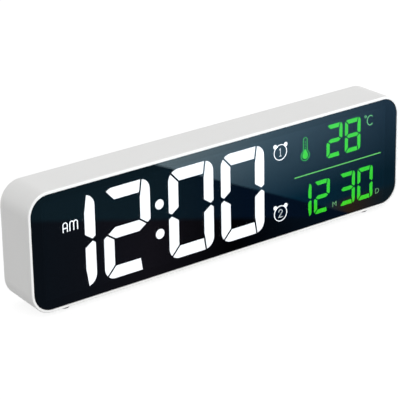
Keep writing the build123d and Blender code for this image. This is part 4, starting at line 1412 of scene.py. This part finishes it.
        def blended(edge: Edge, near: Link, far: Link) -> Link:
            """Return the socket of one colour before an edge and another past it."""
            mix = add_node(tree, "Mix", {"data_type": "RGBA"}, {0: past(edge), 6: near, 7: far})
            return mix.outputs[2]

        foot = blended(self.foot_edge, graded(self.field_foot), graded(self.field_low))
        bright = blended(self.field_rise, foot, graded(self.field_high))
        room = blended(self.room_edge, graded(self.room_low), graded(self.room_high))
        view = blended(self.field_edge, room, bright)
        # The graded colours glow: this is a painted reflection, not a lamp.
        glow = add_node(tree, "Emission", {"Strength": self.card_strength}, {"Color": view})
        show(tree, glow)
        return material

    def softbox(self, name: str, power: float, place: Place) -> None:
        """Stand one soft lamp that faces the clock.

        Args:
            name: the lamp's name.
            power: its power in watts.
            place: its middle, in metres.
        """
        data = bpy.data.lights.new(name, "AREA")
        data.shape = "RECTANGLE"
        data.size, data.size_y = self.lamp_size
        data.energy = power
        lamp = bpy.data.objects.new(name, data)
        bpy.context.scene.collection.objects.link(lamp)
        lamp.location = place
        lamp.rotation_euler = (Vector(self.lamp_aim) - lamp.location).to_track_quat("-Z", "Y").to_euler()

    def viewpoint(self) -> Tuple[Vector, Vector, Vector, Vector]:
        """Work out where the photograph was taken from.

        Returns:
            The camera's place in metres, and its directions to the right, up and back.
        """
        turn, rise, roll = (math.radians(angle) for angle in (self.azimuth, self.elevation, self.roll))
        back = Vector((math.sin(turn) * math.cos(rise), -math.cos(turn) * math.cos(rise), math.sin(rise)))
        level = Vector((math.cos(turn), math.sin(turn), 0.0))
        upright = back.cross(level)
        right = math.cos(roll) * level + math.sin(roll) * upright
        top = -math.sin(roll) * level + math.cos(roll) * upright
        middle = Vector([mm(part) for part in self.panel_middle])
        spot = middle + mm(self.distance) * back + mm(self.slide[0]) * right + mm(self.slide[1]) * top
        return spot, right, top, back

    def camera(self) -> None:
        """Stand the camera where the photograph was taken from."""
        spot, right, top, back = self.viewpoint()
        data = bpy.data.cameras.new("photograph")
        data.sensor_width = self.sensor
        data.lens = self.lens
        data.clip_start = mm(self.nearest)
        camera = bpy.data.objects.new("photograph", data)
        bpy.context.scene.collection.objects.link(camera)
        turned = Matrix((right, top, back)).transposed().to_4x4()
        camera.matrix_world = Matrix.Translation(spot) @ turned
        bpy.context.scene.camera = camera


def main() -> None:
    """Build and dress the clock, then set up the studio."""
    logging.basicConfig(level=logging.INFO, format="%(message)s")
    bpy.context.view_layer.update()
    for assembly in (Housing(), Window(), Display(), Electronics(), PowerBay(), Speaker(), Keys()):
        assembly.dress()
        assembly.build()
        LOG.info("%s done", type(assembly).__name__)
    Studio().build()


if __name__ == "__main__":
    main()
